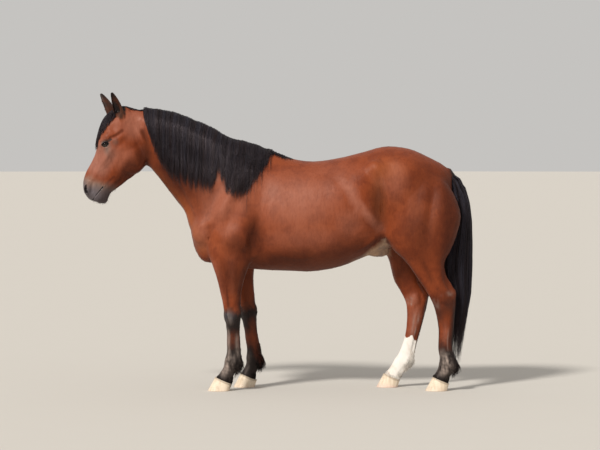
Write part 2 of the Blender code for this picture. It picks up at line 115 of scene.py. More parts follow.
limbs = {
    # place along the joints, half depth, half width, tilt in degrees
    'fore': [(0.0, 0.12, 0.07, 0), (0.5, 0.142, 0.086, 0), (1.0, 0.112, 0.069, 0),
             (1.35, 0.088, 0.06, 0), (1.7, 0.071, 0.052, 0), (2.05, 0.061, 0.046, 0),
             (2.5, 0.055, 0.042, 0), (2.9, 0.052, 0.045, 0), (3.25, 0.046, 0.041, 0),
             (3.6, 0.0415, 0.03, 0), (4.0, 0.0425, 0.0265, 0), (4.5, 0.0445, 0.0275, 0),
             (4.95, 0.054, 0.036, 8), (5.35, 0.044, 0.034, 22), (5.7, 0.045, 0.04, 30),
             (6.0, 0.047, 0.045, 36), (6.9, 0.036, 0.036, 34)],
    'hind': [(0.0, 0.11, 0.06, -3), (0.45, 0.205, 0.105, -4), (1.0, 0.242, 0.118, -3),
             (1.5, 0.22, 0.112, -2), (2.0, 0.174, 0.096, 0), (2.35, 0.124, 0.078, 0),
             (2.7, 0.097, 0.066, -4), (3.1, 0.085, 0.056, -8), (3.55, 0.08, 0.048, -14),
             (4.0, 0.076, 0.047, -16), (4.35, 0.066, 0.046, -12), (4.75, 0.056, 0.037, -6),
             (5.2, 0.048, 0.03, -2), (5.65, 0.0445, 0.028, 0), (6.1, 0.046, 0.03, 2),
             (6.6, 0.051, 0.034, 4), (7.0, 0.059, 0.038, 8), (7.4, 0.05, 0.037, 20),
             (7.8, 0.046, 0.041, 28), (8.0, 0.047, 0.045, 34), (8.9, 0.036, 0.036, 34)],
    # joint centres in the side view, down to the coronet and into the hoof
    'foreJoints': {'left': [(-0.29, 0.96), (-0.276, 0.76), (-0.274, 0.585), (-0.266, 0.435),
                            (-0.263, 0.3), (-0.266, 0.172), (-0.322, 0.062), (-0.34, 0.03)],
                   'right': [(-0.285, 0.96), (-0.246, 0.755), (-0.2, 0.58), (-0.174, 0.43),
                             (-0.156, 0.295), (-0.14, 0.17), (-0.184, 0.06), (-0.194, 0.03)]},
    'hindJoints': {'left': [(0.83, 1.33), (0.868, 1.06), (0.876, 0.85), (0.938, 0.69), (1.007, 0.56),
                            (1.022, 0.4), (1.017, 0.26), (1.036, 0.16), (0.985, 0.066), (0.975, 0.03)],
                   'right': [(0.82, 1.33), (0.85, 1.06), (0.815, 0.85), (0.8, 0.68), (0.857, 0.546),
                             (0.842, 0.39), (0.81, 0.262), (0.777, 0.166), (0.706, 0.066), (0.69, 0.03)]},
    # distance of those joints from the middle
    'foreSpread': [0.125, 0.15, 0.14, 0.131, 0.126, 0.123, 0.12, 0.12],
    'hindSpread': [0.1, 0.135, 0.142, 0.132, 0.124, 0.12, 0.118, 0.118, 0.118, 0.118]}


def smoothRows(rows, steps):
    rows = np.array(rows, float)
    held = np.vstack([2 * rows[0] - rows[1], rows, 2 * rows[-1] - rows[-2]])
    dense = []
    for a, b, c, d in zip(held, held[1:], held[2:], held[3:]):
        for t in np.arange(steps) / steps:
            dense.append(0.5 * (2 * b + (c - a) * t + (2 * a - 5 * b + 4 * c - d) * t * t
                                + (3 * b - a - 3 * c + d) * t ** 3))
    dense.append(rows[-1])
    return np.array(dense)


def addObject(name, mesh):
    obj = bpy.data.objects.new(name, mesh)
    bpy.context.scene.collection.objects.link(obj)
    return obj


def toObject(name, bm):
    bmesh.ops.recalc_face_normals(bm, faces=bm.faces)
    mesh = bpy.data.meshes.new(name)
    bm.to_mesh(mesh)
    bm.free()
    return addObject(name, mesh)


def section(row, count):
    frontX, frontZ, backX, backZ, y, width, fullFront, fullBack, taper = row
    angle = np.arange(count) * 2 * math.pi / count
    full = np.where(np.cos(angle) < 0, fullFront, fullBack)
    along = np.sign(np.cos(angle)) * np.abs(np.cos(angle)) ** (2 / full)
    across = np.sign(np.sin(angle)) * np.abs(np.sin(angle)) ** (2 / full) * width * (1 + taper * along)
    x = (frontX + backX) / 2 + (backX - frontX) / 2 * along
    z = (frontZ + backZ) / 2 + (backZ - frontZ) / 2 * along
    return np.stack([x, y + across, z], axis=1)


def skinOver(name, rings):
    bm = bmesh.new()
    loops = [[bm.verts.new(point) for point in ring] for ring in rings]
    for lower, upper in zip(loops, loops[1:]):
        for i in range(len(lower)):
            bm.faces.new((lower[i - 1], lower[i], upper[i], upper[i - 1]))
    bm.faces.new(loops[0])
    bm.faces.new(loops[-1])
    return toObject(name, bm)


def loft(name, rows, count=64, steps=8):
    return skinOver(name, [section(row, count) for row in smoothRows(rows, steps)])


def ball(name, centre, halfSizes, turn=(0, 0, 0)):
    bm = bmesh.new()
    bmesh.ops.create_icosphere(bm, subdivisions=4, radius=1)
    place = Matrix.LocRotScale(Vector(centre), Euler([math.radians(a) for a in turn]), Vector(halfSizes))
    bmesh.ops.transform(bm, matrix=place, verts=bm.verts)
    return toObject(name, bm)


def limbPath(kind, word):
    joints, spread = limbs[kind + 'Joints'][word], limbs[kind + 'Spread']
    return smoothRows([(x, sides[word] * y, z) for (x, z), y in zip(joints, spread)], 20)


def limbLoft(kind, word):
    path = limbPath(kind, word)
    rows = []
    for place, depth, width, tilt in limbs[kind]:
        x, y, z = path[round(place * 20)]
        dx, dz = depth * math.cos(math.radians(tilt)), depth * math.sin(math.radians(tilt))
        rows.append((x - dx, z + dz, x + dx, z - dz, y, width, 2.2, 2.2, 0))
    return loft(kind + word, rows, count=40)


def bothSides(masses):
    made = []
    for name, ((x, y, z), halfSizes, (roll, pitch, yaw)) in masses.items():
        for side in ((-1, 1) if y else (1,)):
            made.append(ball(name, (x, side * y, z), halfSizes, (side * roll, pitch, side * yaw)))
    return made


def dropObject(obj):
    mesh = obj.data
    bpy.data.objects.remove(obj)
    bpy.data.meshes.remove(mesh)


def bake(obj):  # the object's modifiers become its mesh
    graph = bpy.context.evaluated_depsgraph_get()
    mesh = bpy.data.meshes.new_from_object(obj.evaluated_get(graph))
    old = obj.data
    obj.modifiers.clear()
    obj.data = mesh
    bpy.data.meshes.remove(old)
    return obj


def melt(name, parts, voxel, soften):
    joined = bmesh.new()
    for part in parts:
        joined.from_mesh(part.data)
        dropObject(part)
    mesh = bpy.data.meshes.new(name)
    joined.to_mesh(mesh)
    joined.free()
    whole = addObject(name, mesh)
    remesh = whole.modifiers.new('melt', 'REMESH')
    remesh.mode = 'VOXEL'
    remesh.voxel_size = voxel
    smooth = whole.modifiers.new('soften', 'SMOOTH')
    smooth.factor = 0.5
    smooth.iterations = soften
    return bake(whole)


def readPoints(obj):
    points = np.empty(len(obj.data.vertices) * 3, np.float32)
    obj.data.vertices.foreach_get('co', points)
    return points.reshape(-1, 3).astype(float)


def readNormals(obj):
    normals = np.empty(len(obj.data.vertices) * 3, np.float32)
    obj.data.vertex_normals.foreach_get('vector', normals)
    return normals.reshape(-1, 3).astype(float)


def writePoints(obj, points):
    obj.data.vertices.foreach_set('co', points.astype(np.float32).ravel())
    obj.data.update()


def smoothStep(low, high, value):
    t = np.clip((value - low) / (high - low), 0, 1)
    return t * t * (3 - 2 * t)


def pathDistance(points, path):  # distance to a path, and how far along it the nearest place is, from 0 to 1
    path = np.array(path, float).reshape(-1, 3)
    if len(path) == 1:
        return np.linalg.norm(points - path[0], axis=1), np.zeros(len(points))
    best, along = np.full(len(points), 1e9), np.zeros(len(points))
    for i, (a, b) in enumerate(zip(path, path[1:])):
        t = np.clip(np.dot(points - a, b - a) / max(np.dot(b - a, b - a), 1e-12), 0, 1)
        away = np.linalg.norm(points - a - t[:, None] * (b - a), axis=1)
        nearer = away < best
        best[nearer], along[nearer] = away[nearer], (i + t[nearer]) / (len(path) - 1)
    return best, along


class Clay:  # an object's points and normals, with brushes that move them
    def __init__(self, obj):
        self.obj = obj
        self.points, self.normals = readPoints(obj), readNormals(obj)
        self.moved, self.tree = np.zeros(len(self.points)), None

    def stroke(self, path, radius, height, mirror=True, taper=False):
        path = np.array(path, float).reshape(-1, 3)
        for side in ((1, -1) if mirror else (1,)):
            line = path * (1, side, 1)
            low, high = line.min(axis=0) - radius, line.max(axis=0) + radius
            near = np.flatnonzero(np.all((self.points > low) & (self.points < high), axis=1))
            if not len(near):
                continue
            away, along = pathDistance(self.points[near], line)
            fall = np.clip(1 - (away / radius) ** 2, 0, 1) ** 2
            if taper:
                fall *= np.sin(np.clip(along, 0.04, 0.96) * math.pi) ** 0.7
            self.moved[near] += fall * height

    def press(self):  # applies the strokes made since the last press
        self.points += self.normals * self.moved[:, None]
        self.moved[:] = 0
        writePoints(self.obj, self.points)
        self.normals = readNormals(self.obj)

    def sidePath(self, path, steps=6):  # a path in the side view, laid on the body's right side
        if self.tree is None:
            self.tree = BVHTree.FromObject(self.obj, bpy.context.evaluated_depsgraph_get())
        path = smoothRows(path, steps) if len(path) > 1 else np.array(path, float)
        hits = [self.tree.ray_cast(Vector((x, 1.0, z)), Vector((0, -1, 0)))[0] for x, z in path]
        return [hit for hit in hits if hit is not None]

    def sideStrokes(self, strokes):
        for path, radius, height in strokes.values():
            laid = self.sidePath(path)
            if laid:
                self.stroke(laid, radius, height, taper=len(path) > 1)
        self.press()

    def settle(self, path, steps=6):  # a path in space, laid on the nearest skin
        self.tree = BVHTree.FromObject(self.obj, bpy.context.evaluated_depsgraph_get())
        return smoothRows([self.tree.find_nearest(Vector(point))[0] for point in path], steps)

    def layStrokes(self, strokes, lay):  # on the middle line, or on both sides where y isn't 0
        for path, radius, height in strokes:
            flat = len(path[0]) == 2  # a path in the side view
            self.stroke(self.sidePath(path) if flat else lay(path), radius, height,
                        mirror=flat or path[0][1] != 0)
        self.press()


# a point on a limb; angle 0 is its back, 90 its outside, 180 its front
def onLimb(kind, word, place, angle):
    places, *profile = zip(*limbs[kind])
    depth, width, tilt = [np.interp(place, places, row) for row in profile]
    x, y, z = limbPath(kind, word)[round(place * 20)]
    along, across = math.cos(math.radians(angle)), math.sin(math.radians(angle))
    tilt = math.radians(tilt)
    return (x + depth * along * math.cos(tilt), y + sides[word] * width * across,
            z - depth * along * math.sin(tilt))


def limbStrokes(clay, kind, strokes):
    for word in sides:
        for places, angle, radius, height in strokes:
            for one in (angle if isinstance(angle, tuple) else (angle,)):
                path = [onLimb(kind, word, place, one) for place in np.linspace(*places, 5)]
                clay.stroke(path, radius, height, mirror=False, taper=places[1] - places[0] > 0.3)
    clay.press()


form = {
    'voxel': 0.006,
    'fineVoxel': 0.003,
    'inset': 0.0022,  # depth of the coat over the skin
    'faces': 178000,
    # how much the last thinning spares, within a distance of the eyes, ahead of an x and below a height
    'spared': {'eyes': (0.04, 0.75), 'head': (-0.8, 0.42), 'legs': (0.62, 0.28)},
    'ribs': {'first': 0.04, 'count': 8, 'apart': 0.052, 'radius': 0.026, 'height': 0.0018}}

# side view path, radius, height (below 0 is a hollow)
bodyStrokes = {
    'shoulderFront': ([(-0.18, 1.415), (-0.265, 1.3), (-0.37, 1.15), (-0.435, 1.03)], 0.06, -0.0149),
    'shoulderSpine': ([(-0.15, 1.38), (-0.235, 1.22), (-0.345, 1.05)], 0.06, 0.008),
    'shoulderBack': ([(-0.04, 1.36), (-0.09, 1.19), (-0.15, 1.04)], 0.085, -0.0121),
    'tricepsBack': ([(-0.08, 1.18), (-0.112, 1.02), (-0.15, 0.88), (-0.19, 0.8)], 0.055, -0.023),
    'tricepsFold': ([(-0.225, 1.18), (-0.29, 1.02), (-0.33, 0.9)], 0.05, -0.0121),
    'tricepsMass': ([(-0.15, 1.12), (-0.185, 1.02), (-0.21, 0.92)], 0.08, 0.012),
    'elbow': ([(-0.182, 0.88)], 0.05, 0.008),
    'shoulderPoint': ([(-0.448, 1.005)], 0.065, 0.012),
    'jugular': ([(-0.76, 1.43), (-0.64, 1.265), (-0.565, 1.155), (-0.49, 1.01)], 0.042, -0.0189),
    'neckBand': ([(-0.8, 1.55), (-0.66, 1.4), (-0.55, 1.28), (-0.44, 1.11)], 0.065, 0.009),
    'neckHollow': ([(-0.66, 1.5), (-0.48, 1.39), (-0.32, 1.33)], 0.085, -0.0108),
    'crest': ([(-0.8, 1.66), (-0.56, 1.59), (-0.4, 1.52), (-0.23, 1.46)], 0.055, 0.006),
    'windpipe': ([(-0.77, 1.36), (-0.67, 1.245), (-0.59, 1.12)], 0.042, 0.006),
    'withersSide': ([(-0.16, 1.4), (-0.04, 1.37), (0.08, 1.34)], 0.07, -0.0095),
    'lastRib': ([(0.32, 1.29), (0.395, 1.13), (0.375, 0.96), (0.27, 0.84)], 0.065, 0.007),
    'flankHollow': ([(0.555, 1.34), (0.595, 1.22), (0.62, 1.08), (0.64, 0.96)], 0.062, -0.0225),
    'flankFold': ([(0.47, 1.3), (0.505, 1.18), (0.545, 1.08), (0.61, 0.985)], 0.05, 0.011),
    'groin': ([(0.545, 0.835), (0.6, 0.868), (0.645, 0.905)], 0.036, -0.026),
    'groinEdge': ([(0.47, 0.835), (0.545, 0.888), (0.625, 0.955)], 0.022, 0.008),
    'flankUnder': ([(0.43, 0.95), (0.5, 1.0), (0.56, 1.03)], 0.04, -0.008),
    'hipPoint': ([(0.59, 1.365)], 0.065, 0.0085),
    'hipBack': ([(0.62, 1.42), (0.68, 1.32), (0.72, 1.22)], 0.08, -0.0095),
    'croup': ([(0.62, 1.4), (0.78, 1.37), (0.9, 1.31)], 0.09, 0.008),
    'thighFront': ([(0.655, 1.33), (0.672, 1.16), (0.69, 0.97)], 0.06, 0.011),
    'thighSeam': ([(0.77, 1.3), (0.79, 1.12), (0.77, 0.94)], 0.05, -0.009),
    'stifle': ([(0.652, 0.925)], 0.06, 0.012),
    'underStifle': ([(0.69, 0.86), (0.715, 0.8)], 0.04, -0.0081),
    'hamGroove': ([(0.955, 1.3), (0.925, 1.12), (0.905, 0.96), (0.905, 0.8)], 0.042, -0.0162),
    'hamSeam': ([(0.85, 1.29), (0.845, 1.12), (0.84, 0.96)], 0.055, -0.0068),
    'buttock': ([(0.995, 1.26), (1.005, 1.16), (1.0, 1.06)], 0.055, 0.007),
    'backRidge': ([(0.08, 1.36), (0.3, 1.375), (0.5, 1.41)], 0.07, 0.005),
    'bellyVein': ([(-0.11, 0.87), (0.0, 0.825), (0.13, 0.8), (0.26, 0.825)], 0.014, 0.0035),
    'girth': ([(-0.07, 1.0), (-0.08, 0.85), (-0.1, 0.77)], 0.06, -0.0108)}

headStrokes = {
    'orbitFront': ([(-1.07, 1.535), (-1.078, 1.505), (-1.074, 1.475), (-1.06, 1.445)], 0.04, 0.007),
    'orbitWhole': ([(-1.046, 1.495)], 0.055, 0.005),
    'socket': ([(-1.015, 1.572), (-0.996, 1.584), (-0.972, 1.592)], 0.04, -0.0052),
    'lidFold': ([(-1.036, 1.521), (-1.006, 1.528), (-0.971, 1.542), (-0.944, 1.568)], 0.016, -0.0034),
    'browRidge': ([(-1.08, 1.52), (-1.058, 1.538), (-1.03, 1.546), (-1.006, 1.553)], 0.028, 0.0055),
    'arch': ([(-1.01, 1.495), (-0.96, 1.518), (-0.915, 1.556)], 0.03, 0.005),
    'underArch': ([(-1.0, 1.47), (-0.95, 1.5), (-0.9, 1.53)], 0.032, -0.004),
    'crestBone': ([(-1.0, 1.47), (-1.028, 1.43), (-1.05, 1.39), (-1.072, 1.345)], 0.024, 0.0085),
    'underCrest': ([(-0.985, 1.44), (-1.006, 1.38), (-1.036, 1.32)], 0.03, -0.007),
    'noseSide': ([(-1.072, 1.455), (-1.092, 1.39), (-1.118, 1.33), (-1.138, 1.275)], 0.026, -0.006),
    'lipLifter': ([(-1.056, 1.42), (-1.082, 1.35), (-1.112, 1.28)], 0.018, 0.003),
    'cheekFront': ([(-1.0, 1.43), (-0.984, 1.36), (-0.955, 1.3), (-0.905, 1.265)], 0.028, -0.007),
    'cheekDisc': ([(-0.905, 1.46), (-0.885, 1.4), (-0.895, 1.36)], 0.085, 0.01),
    'jawEdge': ([(-0.815, 1.5), (-0.798, 1.42), (-0.822, 1.35), (-0.89, 1.292)], 0.026, 0.006),
    'jawSeam': ([(-0.855, 1.51), (-0.838, 1.43), (-0.855, 1.36)], 0.032, -0.004),
    'bars': ([(-0.93, 1.28), (-0.975, 1.245), (-1.015, 1.205)], 0.024, -0.005),
    'throatBack': ([(-0.85, 1.64), (-0.8, 1.555), (-0.772, 1.47), (-0.764, 1.37)], 0.036, -0.015),
    'atlasWing': ([(-0.81, 1.64), (-0.775, 1.59), (-0.745, 1.53)], 0.036, 0.009),
    'earRoot': ([(-0.925, 1.65), (-0.945, 1.625)], 0.04, 0.007),
    'faceVein': ([(-0.99, 1.45), (-1.012, 1.41), (-1.008, 1.365), (-0.965, 1.308)], 0.008, 0.0022),
    'faceVeinBranch': ([(-1.008, 1.395), (-1.045, 1.355), (-1.085, 1.325)], 0.007, 0.0016)}

# places along the limb, angle or angles, radius, height
foreStrokes = [
    ((0.9, 2.3), 158, 0.034, 0.0085), ((0.8, 2.5), 122, 0.018, -0.0075), ((0.8, 2.2), 78, 0.036, 0.008),
    ((0.9, 2.3), 36, 0.022, -0.006), ((2.1, 2.65), (60, 300), 0.024, -0.004),
    ((2.62, 2.8), 0, 0.028, 0.0075), ((2.85, 2.95), 180, 0.032, 0.004),
    ((3.05, 3.15), (90, 270), 0.026, 0.004), ((2.78, 2.8), (120, 240), 0.018, 0.003),
    ((2.98, 3.0), (150, 210), 0.014, -0.0016), ((3.2, 3.25), (150, 180, 210), 0.016, -0.0014),
    ((3.3, 4.85), (52, 308), 0.014, -0.006), ((3.4, 4.8), (0, 20, 340), 0.014, 0.002),
    ((4.9, 5.1), (70, 290), 0.024, 0.0035), ((4.95, 5.15), (15, 345), 0.02, 0.004),
    ((5.35, 5.7), 0, 0.02, -0.004), ((5.3, 5.6), (60, 300), 0.016, -0.0025),
    ((6.02, 6.06), (0, 40, 80, 120, 150, 180, 210, 240, 280, 320), 0.014, 0.0018),
    ((5.9, 6.1), (35, 325), 0.022, 0.005), ((2.35, 2.5), 265, 0.01, 0.0035)]

hindStrokes = [
    ((2.1, 3.5), 150, 0.044, 0.009), ((2.0, 3.4), 100, 0.028, -0.008), ((2.0, 3.2), 50, 0.044, 0.008),
    ((4.15, 4.2), (110, 250), 0.012, -0.0028), ((4.3, 4.34), (120, 150), 0.01, -0.0018),
    ((2.9, 3.95), (40, 320), 0.026, -0.014), ((3.1, 3.95), 0, 0.02, 0.004), ((3.86, 3.94), 0, 0.028, 0.007),
    ((3.95, 4.1), (95, 265), 0.03, 0.006), ((4.1, 4.6), (30, 330), 0.018, -0.003),
    ((3.9, 4.3), (140, 220), 0.022, -0.003), ((4.2, 4.5), (150, 210), 0.022, 0.004),
    ((4.8, 6.7), (52, 308), 0.014, -0.0062), ((4.8, 6.6), (0, 20, 340), 0.014, 0.002),
    ((6.9, 7.1), (70, 290), 0.024, 0.0035), ((6.95, 7.15), (15, 345), 0.02, 0.004),
    ((7.35, 7.7), 0, 0.02, -0.004), ((7.3, 7.6), (60, 300), 0.016, -0.0025),
    ((8.02, 8.06), (0, 40, 80, 120, 150, 180, 210, 240, 280, 320), 0.014, 0.0018),
    ((7.9, 8.1), (35, 325), 0.022, 0.005), ((4.55, 4.75), 270, 0.009, 0.003),
    ((3.6, 4.3), (215, 290), 0.014, -0.004), ((3.9, 4.5), 250, 0.018, 0.0045),
    ((2.9, 4.2), 238, 0.008, 0.0022)]

# path in space or in the side view, radius, height: breast, seat, dock and withers
middleStrokes = [
    ([(-0.52, 0, 1.08), (-0.5, 0, 0.96), (-0.45, 0, 0.84)], 0.034, -0.014),
    ([(-0.5, 0.08, 0.99), (-0.47, 0.07, 0.9)], 0.055, 0.0065),
    ([(-0.428, 0.945), (-0.42, 0.905)], 0.042, 0.006),
    ([(-0.56, 0, 1.12), (-0.64, 0, 1.22)], 0.03, 0.005),
    ([(1.05, 0, 1.2), (1.02, 0, 1.06), (0.96, 0, 0.96)], 0.04, -0.02),
    ([(0.7, 0, 1.47), (0.85, 0, 1.435), (0.96, 0, 1.385)], 0.03, -0.006),
    ([(-0.15, 0, 1.44), (0.05, 0, 1.405)], 0.03, 0.004)]

# nostril rim, lips and chin, then the poll behind the ears and the crest
muzzleStrokes = [
    ([(-1.148, 0.04, 1.245), (-1.152, 0.04, 1.2)], 0.03, 0.006),
    ([(-1.115, 0.045, 1.265), (-1.124, 0.047, 1.235), (-1.126, 0.043, 1.205)], 0.015, -0.004),
    ([(-1.172, 0, 1.24), (-1.172, 0, 1.205), (-1.155, 0, 1.165)], 0.01, -0.0022),
    ([(-1.04, 0, 1.134), (-1.07, 0, 1.138)], 0.032, 0.006),
    ([(-1.022, 0, 1.15), (-1.015, 0, 1.168)], 0.024, -0.005),
    ([(-1.0, 0, 1.185), (-0.93, 0, 1.24), (-0.86, 0, 1.3)], 0.03, -0.012),
    ([(-0.894, 0, 1.69), (-0.88, 0, 1.69)], 0.024, 0.012),
    ([(-0.938, 0, 1.705), (-0.92, 0, 1.705)], 0.034, 0.01),
    ([(-0.93, 0, 1.705), (-0.895, 0, 1.7), (-0.855, 0, 1.69)], 0.042, 0.003),
    ([(-0.8, 0, 1.686), (-0.64, 0, 1.66), (-0.48, 0, 1.6), (-0.32, 0, 1.52)], 0.034, 0.0055)]


def hollowEar(word):  # a rolled leaf of skin, open along one side
    root, tip = (Vector(point) for point in ears['at'][word])
    turn = math.radians(ears['opens']) * sides[word]
    axis = (tip - root).normalized()
    opening = Vector((-math.cos(turn), math.sin(turn), 0))
    opening = (opening - axis * opening.dot(axis)).normalized()
    across = axis.cross(opening)
    rings = []
    for at, wide, deep, bow, gap, wall in smoothRows(ears['shape'], 6):
        middle = root.lerp(tip, at) - opening * bow
        halfWide, halfDeep = wide * ears['halfWidth'], deep * ears['halfDepth']
        outer, inner = [], []
        for i in range(29):
            angle = math.radians(90 + gap + (360 - 2 * gap) * i / 28)
            for ring, less in ((outer, 0), (inner, wall)):
                ring.append(middle + across * (math.cos(angle) * max(halfWide - less, 0.0004))
                            + opening * (math.sin(angle) * max(halfDeep - less, 0.0004)))
        rings.append(outer + inner[::-1])
    return skinOver('ear' + word, rings)


ears = {
    'at': {'left': ((-0.954, -0.052, 1.648), (-1.006, -0.066, 1.806)),
           'right': ((-0.99, 0.052, 1.65), (-1.068, 0.071, 1.801))},
    'opens': 50,  # degrees out from straight ahead
    'halfWidth': 0.0305, 'halfDepth': 0.0215,
    # place from root to tip, width, depth, bow to the back, half the opening in degrees, wall
    'shape': [(-0.14, 1.08, 1.16, 0.0, 12, 0.009), (0.06, 1.24, 1.22, 0.002, 24, 0.008),
              (0.22, 1.2, 1.14, 0.005, 38, 0.007), (0.42, 1.1, 0.98, 0.007, 52, 0.0064),
              (0.62, 0.92, 0.82, 0.006, 56, 0.006), (0.8, 0.68, 0.64, 0.003, 50, 0.006),
              (0.92, 0.46, 0.46, 0.0, 36, 0.006), (0.985, 0.27, 0.28, -0.001, 14, 0.006)]}

eyes = {
    'at': (-1.0455, 0.0695, 1.4895), 'radius': 0.0225,
    'tilt': 14,  # degrees that the slit rises to the back
    'length': 0.023, 'upper': 0.0125, 'lower': 0.0118,
    'lid': 0.003, 'sunk': 0.005, 'cornea': 0.015, 'bulge': 0.0014,
    # ridges and creases of the lids: height, distance from the slit, spread, lid
    'folds': [(0.0016, 0.0026, 0.0026, 'upper'), (0.0014, 0.0028, 0.0022, 'lower'),
              (-0.0016, 0.0075, 0.0017, 'upper'), (0.0012, 0.0115, 0.003, 'upper'),
              (-0.0012, 0.008, 0.0018, 'lower'), (-0.0008, 0.015, 0.0018, 'both')],
    'tearCorner': {'ahead': 0.021, 'out': 0.011, 'run': (-0.006, -0.003, -0.007), 'radius': 0.0055,
                   'depth': 0.0028}}

face = {
    'nostril': {'at': (-1.158, 0.04, 1.215), 'faces': (-0.56, 0.8, 0.12), 'along': (-0.1, -0.06, 0.99),
                'half': (0.0265, 0.0115), 'bow': 9.0, 'depth': 0.026, 'rim': 0.004},
    'mouth': [(-1.134, 0.0, 1.144), (-1.129, 0.014, 1.149), (-1.114, 0.028, 1.16),
              (-1.092, 0.038, 1.186), (-1.068, 0.042, 1.218), (-1.06, 0.043, 1.229)],
    'lips': [(0.012, 0.0022), (0.0046, -0.006)],  # radius and height of the swell, then of the slit
    'mouthFolds': [[(-1.057, 0.0435, 1.234), (-1.051, 0.044, 1.246)],
                   [(-1.066, 0.043, 1.238), (-1.064, 0.044, 1.254)],
                   [(-1.05, 0.043, 1.226), (-1.039, 0.044, 1.234)]],
    # wrinkles round the eye: height over it, half length, depth
    'wrinkles': [(0.027, 0.02, 0.0013), (0.033, 0.016, 0.0011), (-0.027, 0.018, 0.001),
                 (-0.033, 0.014, 0.0008)],
    # places that are split finer, and once more: middle, radius
    'finer': [(eyes['at'], 0.052), ((-1.15, 0.036, 1.22), 0.042), ((-1.095, 0.03, 1.18), 0.046)],
    'finest': [(eyes['at'], 0.036)]}


def refine(obj, zones):  # the faces within each zone are split in four
    bm = bmesh.new()
    bm.from_mesh(obj.data)
    for centre, radius in zones:
        centre = Vector(centre)
        edges = {e for f in bm.faces if (f.calc_center_median() - centre).length < radius for e in f.edges}
        bmesh.ops.subdivide_edges(bm, edges=list(edges), cuts=1, use_grid_fill=True)
    bm.to_mesh(obj.data)
    bm.free()


# distance from the slit's edge, below 0 inside; height over the slit's line; distance from its middle
def eyeSlit(off):
    tilt = math.radians(eyes['tilt'])
    u = off[:, 0] * math.cos(tilt) + off[:, 2] * math.sin(tilt)
    v = -off[:, 0] * math.sin(tilt) + off[:, 2] * math.cos(tilt)
    along = np.clip(1 - (u / eyes['length']) ** 2, 0, 1)
    top, bottom = eyes['upper'] * along ** 0.62, -eyes['lower'] * along ** 0.8
    edge = np.maximum(v - top, bottom - v)
    beyond = np.maximum(np.abs(u) - eyes['length'], 0)
    return np.where(beyond > 0, np.hypot(beyond, v), edge), v, np.hypot(u, v)


def sculptEyes(clay):  # lids closed round each eyeball, open over an almond
    tilt, tear = math.radians(eyes['tilt']), eyes['tearCorner']
    for side in (-1, 1):
        centre = np.array(eyes['at']) * (1, side, 1)
        off = clay.points - centre
        near = np.flatnonzero(np.linalg.norm(off, axis=1) < 0.05)
        off = off[near]
        edge, v, flat = eyeSlit(off)
        facing = smoothStep(-0.004, 0.006, off[:, 1] * side)
        inside = smoothStep(0.0012, -0.0012, edge)
        radius = np.linalg.norm(off, axis=1)
        onLid = {'upper': v > 0, 'lower': v <= 0, 'both': 1}
        lidHeight = eyes['lid']
        for height, place, spread, lid in eyes['folds']:
            lidHeight = lidHeight + height * np.exp(-((edge - place) / spread) ** 2) * onLid[lid]
        shell = eyes['radius'] + lidHeight - inside * (eyes['sunk'] + eyes['lid'])
        blend = smoothStep(0.027, 0.0165, flat) * facing
        goal = radius * (1 - blend) + shell * blend
        clay.points[near] += off / radius[:, None] * (goal - radius)[:, None]
        ahead = -tear['ahead']
        corner = centre + np.array([math.cos(tilt) * ahead, side * tear['out'], math.sin(tilt) * ahead])
        clay.stroke([corner, corner + np.array(tear['run']) * (1, side, 1)], tear['radius'], -tear['depth'],
                    mirror=False)
    clay.press()


def sculptHead(clay):
    clay.sideStrokes(headStrokes)
    clay.layStrokes(muzzleStrokes, clay.settle)


# 0 in the middle of the opening and 1 on its edge; how far out each point is; the ways out and along
def nostrilPlaces(points, side):
    nostril = face['nostril']
    flip = np.array((1, side, 1))
    out = np.array(nostril['faces']) * flip
    out = out / np.linalg.norm(out)
    along = np.array(nostril['along']) * flip
    along = along - out * np.dot(along, out)
    along = along / np.linalg.norm(along)
    across = np.cross(out, along) * side
    off = points - np.array(nostril['at']) * flip
    u, v = off @ along, off @ across
    v = v - nostril['bow'] * u * u
    long, wide = nostril['half']
    wide = wide * (1.0 - 0.3 * np.clip(u / long, -1, 1))
    return np.hypot(u / long, v / wide), off @ out, out, along


def sculptNostrils(clay):
    nostril = face['nostril']
    for side in (-1, 1):
        reach, level, out, along = nostrilPlaces(clay.points, side)
        near = (reach < 3.2) & (level > -0.03)
        rim = np.exp(-((reach - 1.35) / 0.42) ** 2) * nostril['rim']
        hole = smoothStep(1.12, 0.45, reach) * nostril['depth']
        way = out * 0.8 - along * 0.45
        clay.points += np.where(near, rim, 0)[:, None] * out - np.where(near, hole, 0)[:, None] * way
    clay.press()


def sculptFace(clay):
    sculptEyes(clay)
    sculptNostrils(clay)
    for radius, height in face['lips']:
        clay.stroke(clay.settle(face['mouth'], 8), radius, height)
        clay.press()
    for path in face['mouthFolds']:
        clay.stroke(clay.settle(path), 0.004, -0.0014)
    for i in range(5):  # creases of the upper lip
        x = -1.124 - 0.008 * i
        low = (x, 0.034 - 0.004 * i, 1.172 + 0.004 * i)
        high = (x - 0.004, 0.036 - 0.004 * i, 1.19 + 0.005 * i)
        clay.stroke(clay.settle([low, high]), 0.0032, -0.0009)
    for side in (1, -1):
        x, y, z = eyes['at']
        for up, long, deep in face['wrinkles']:
            path = [(x + s * long - 0.3 * up, side * (y + 0.018), z + up + s * long * 0.45)
                    for s in (-1, 0, 1)]
            clay.stroke(clay.settle(path), 0.0038, -deep, mirror=False)
    clay.press()


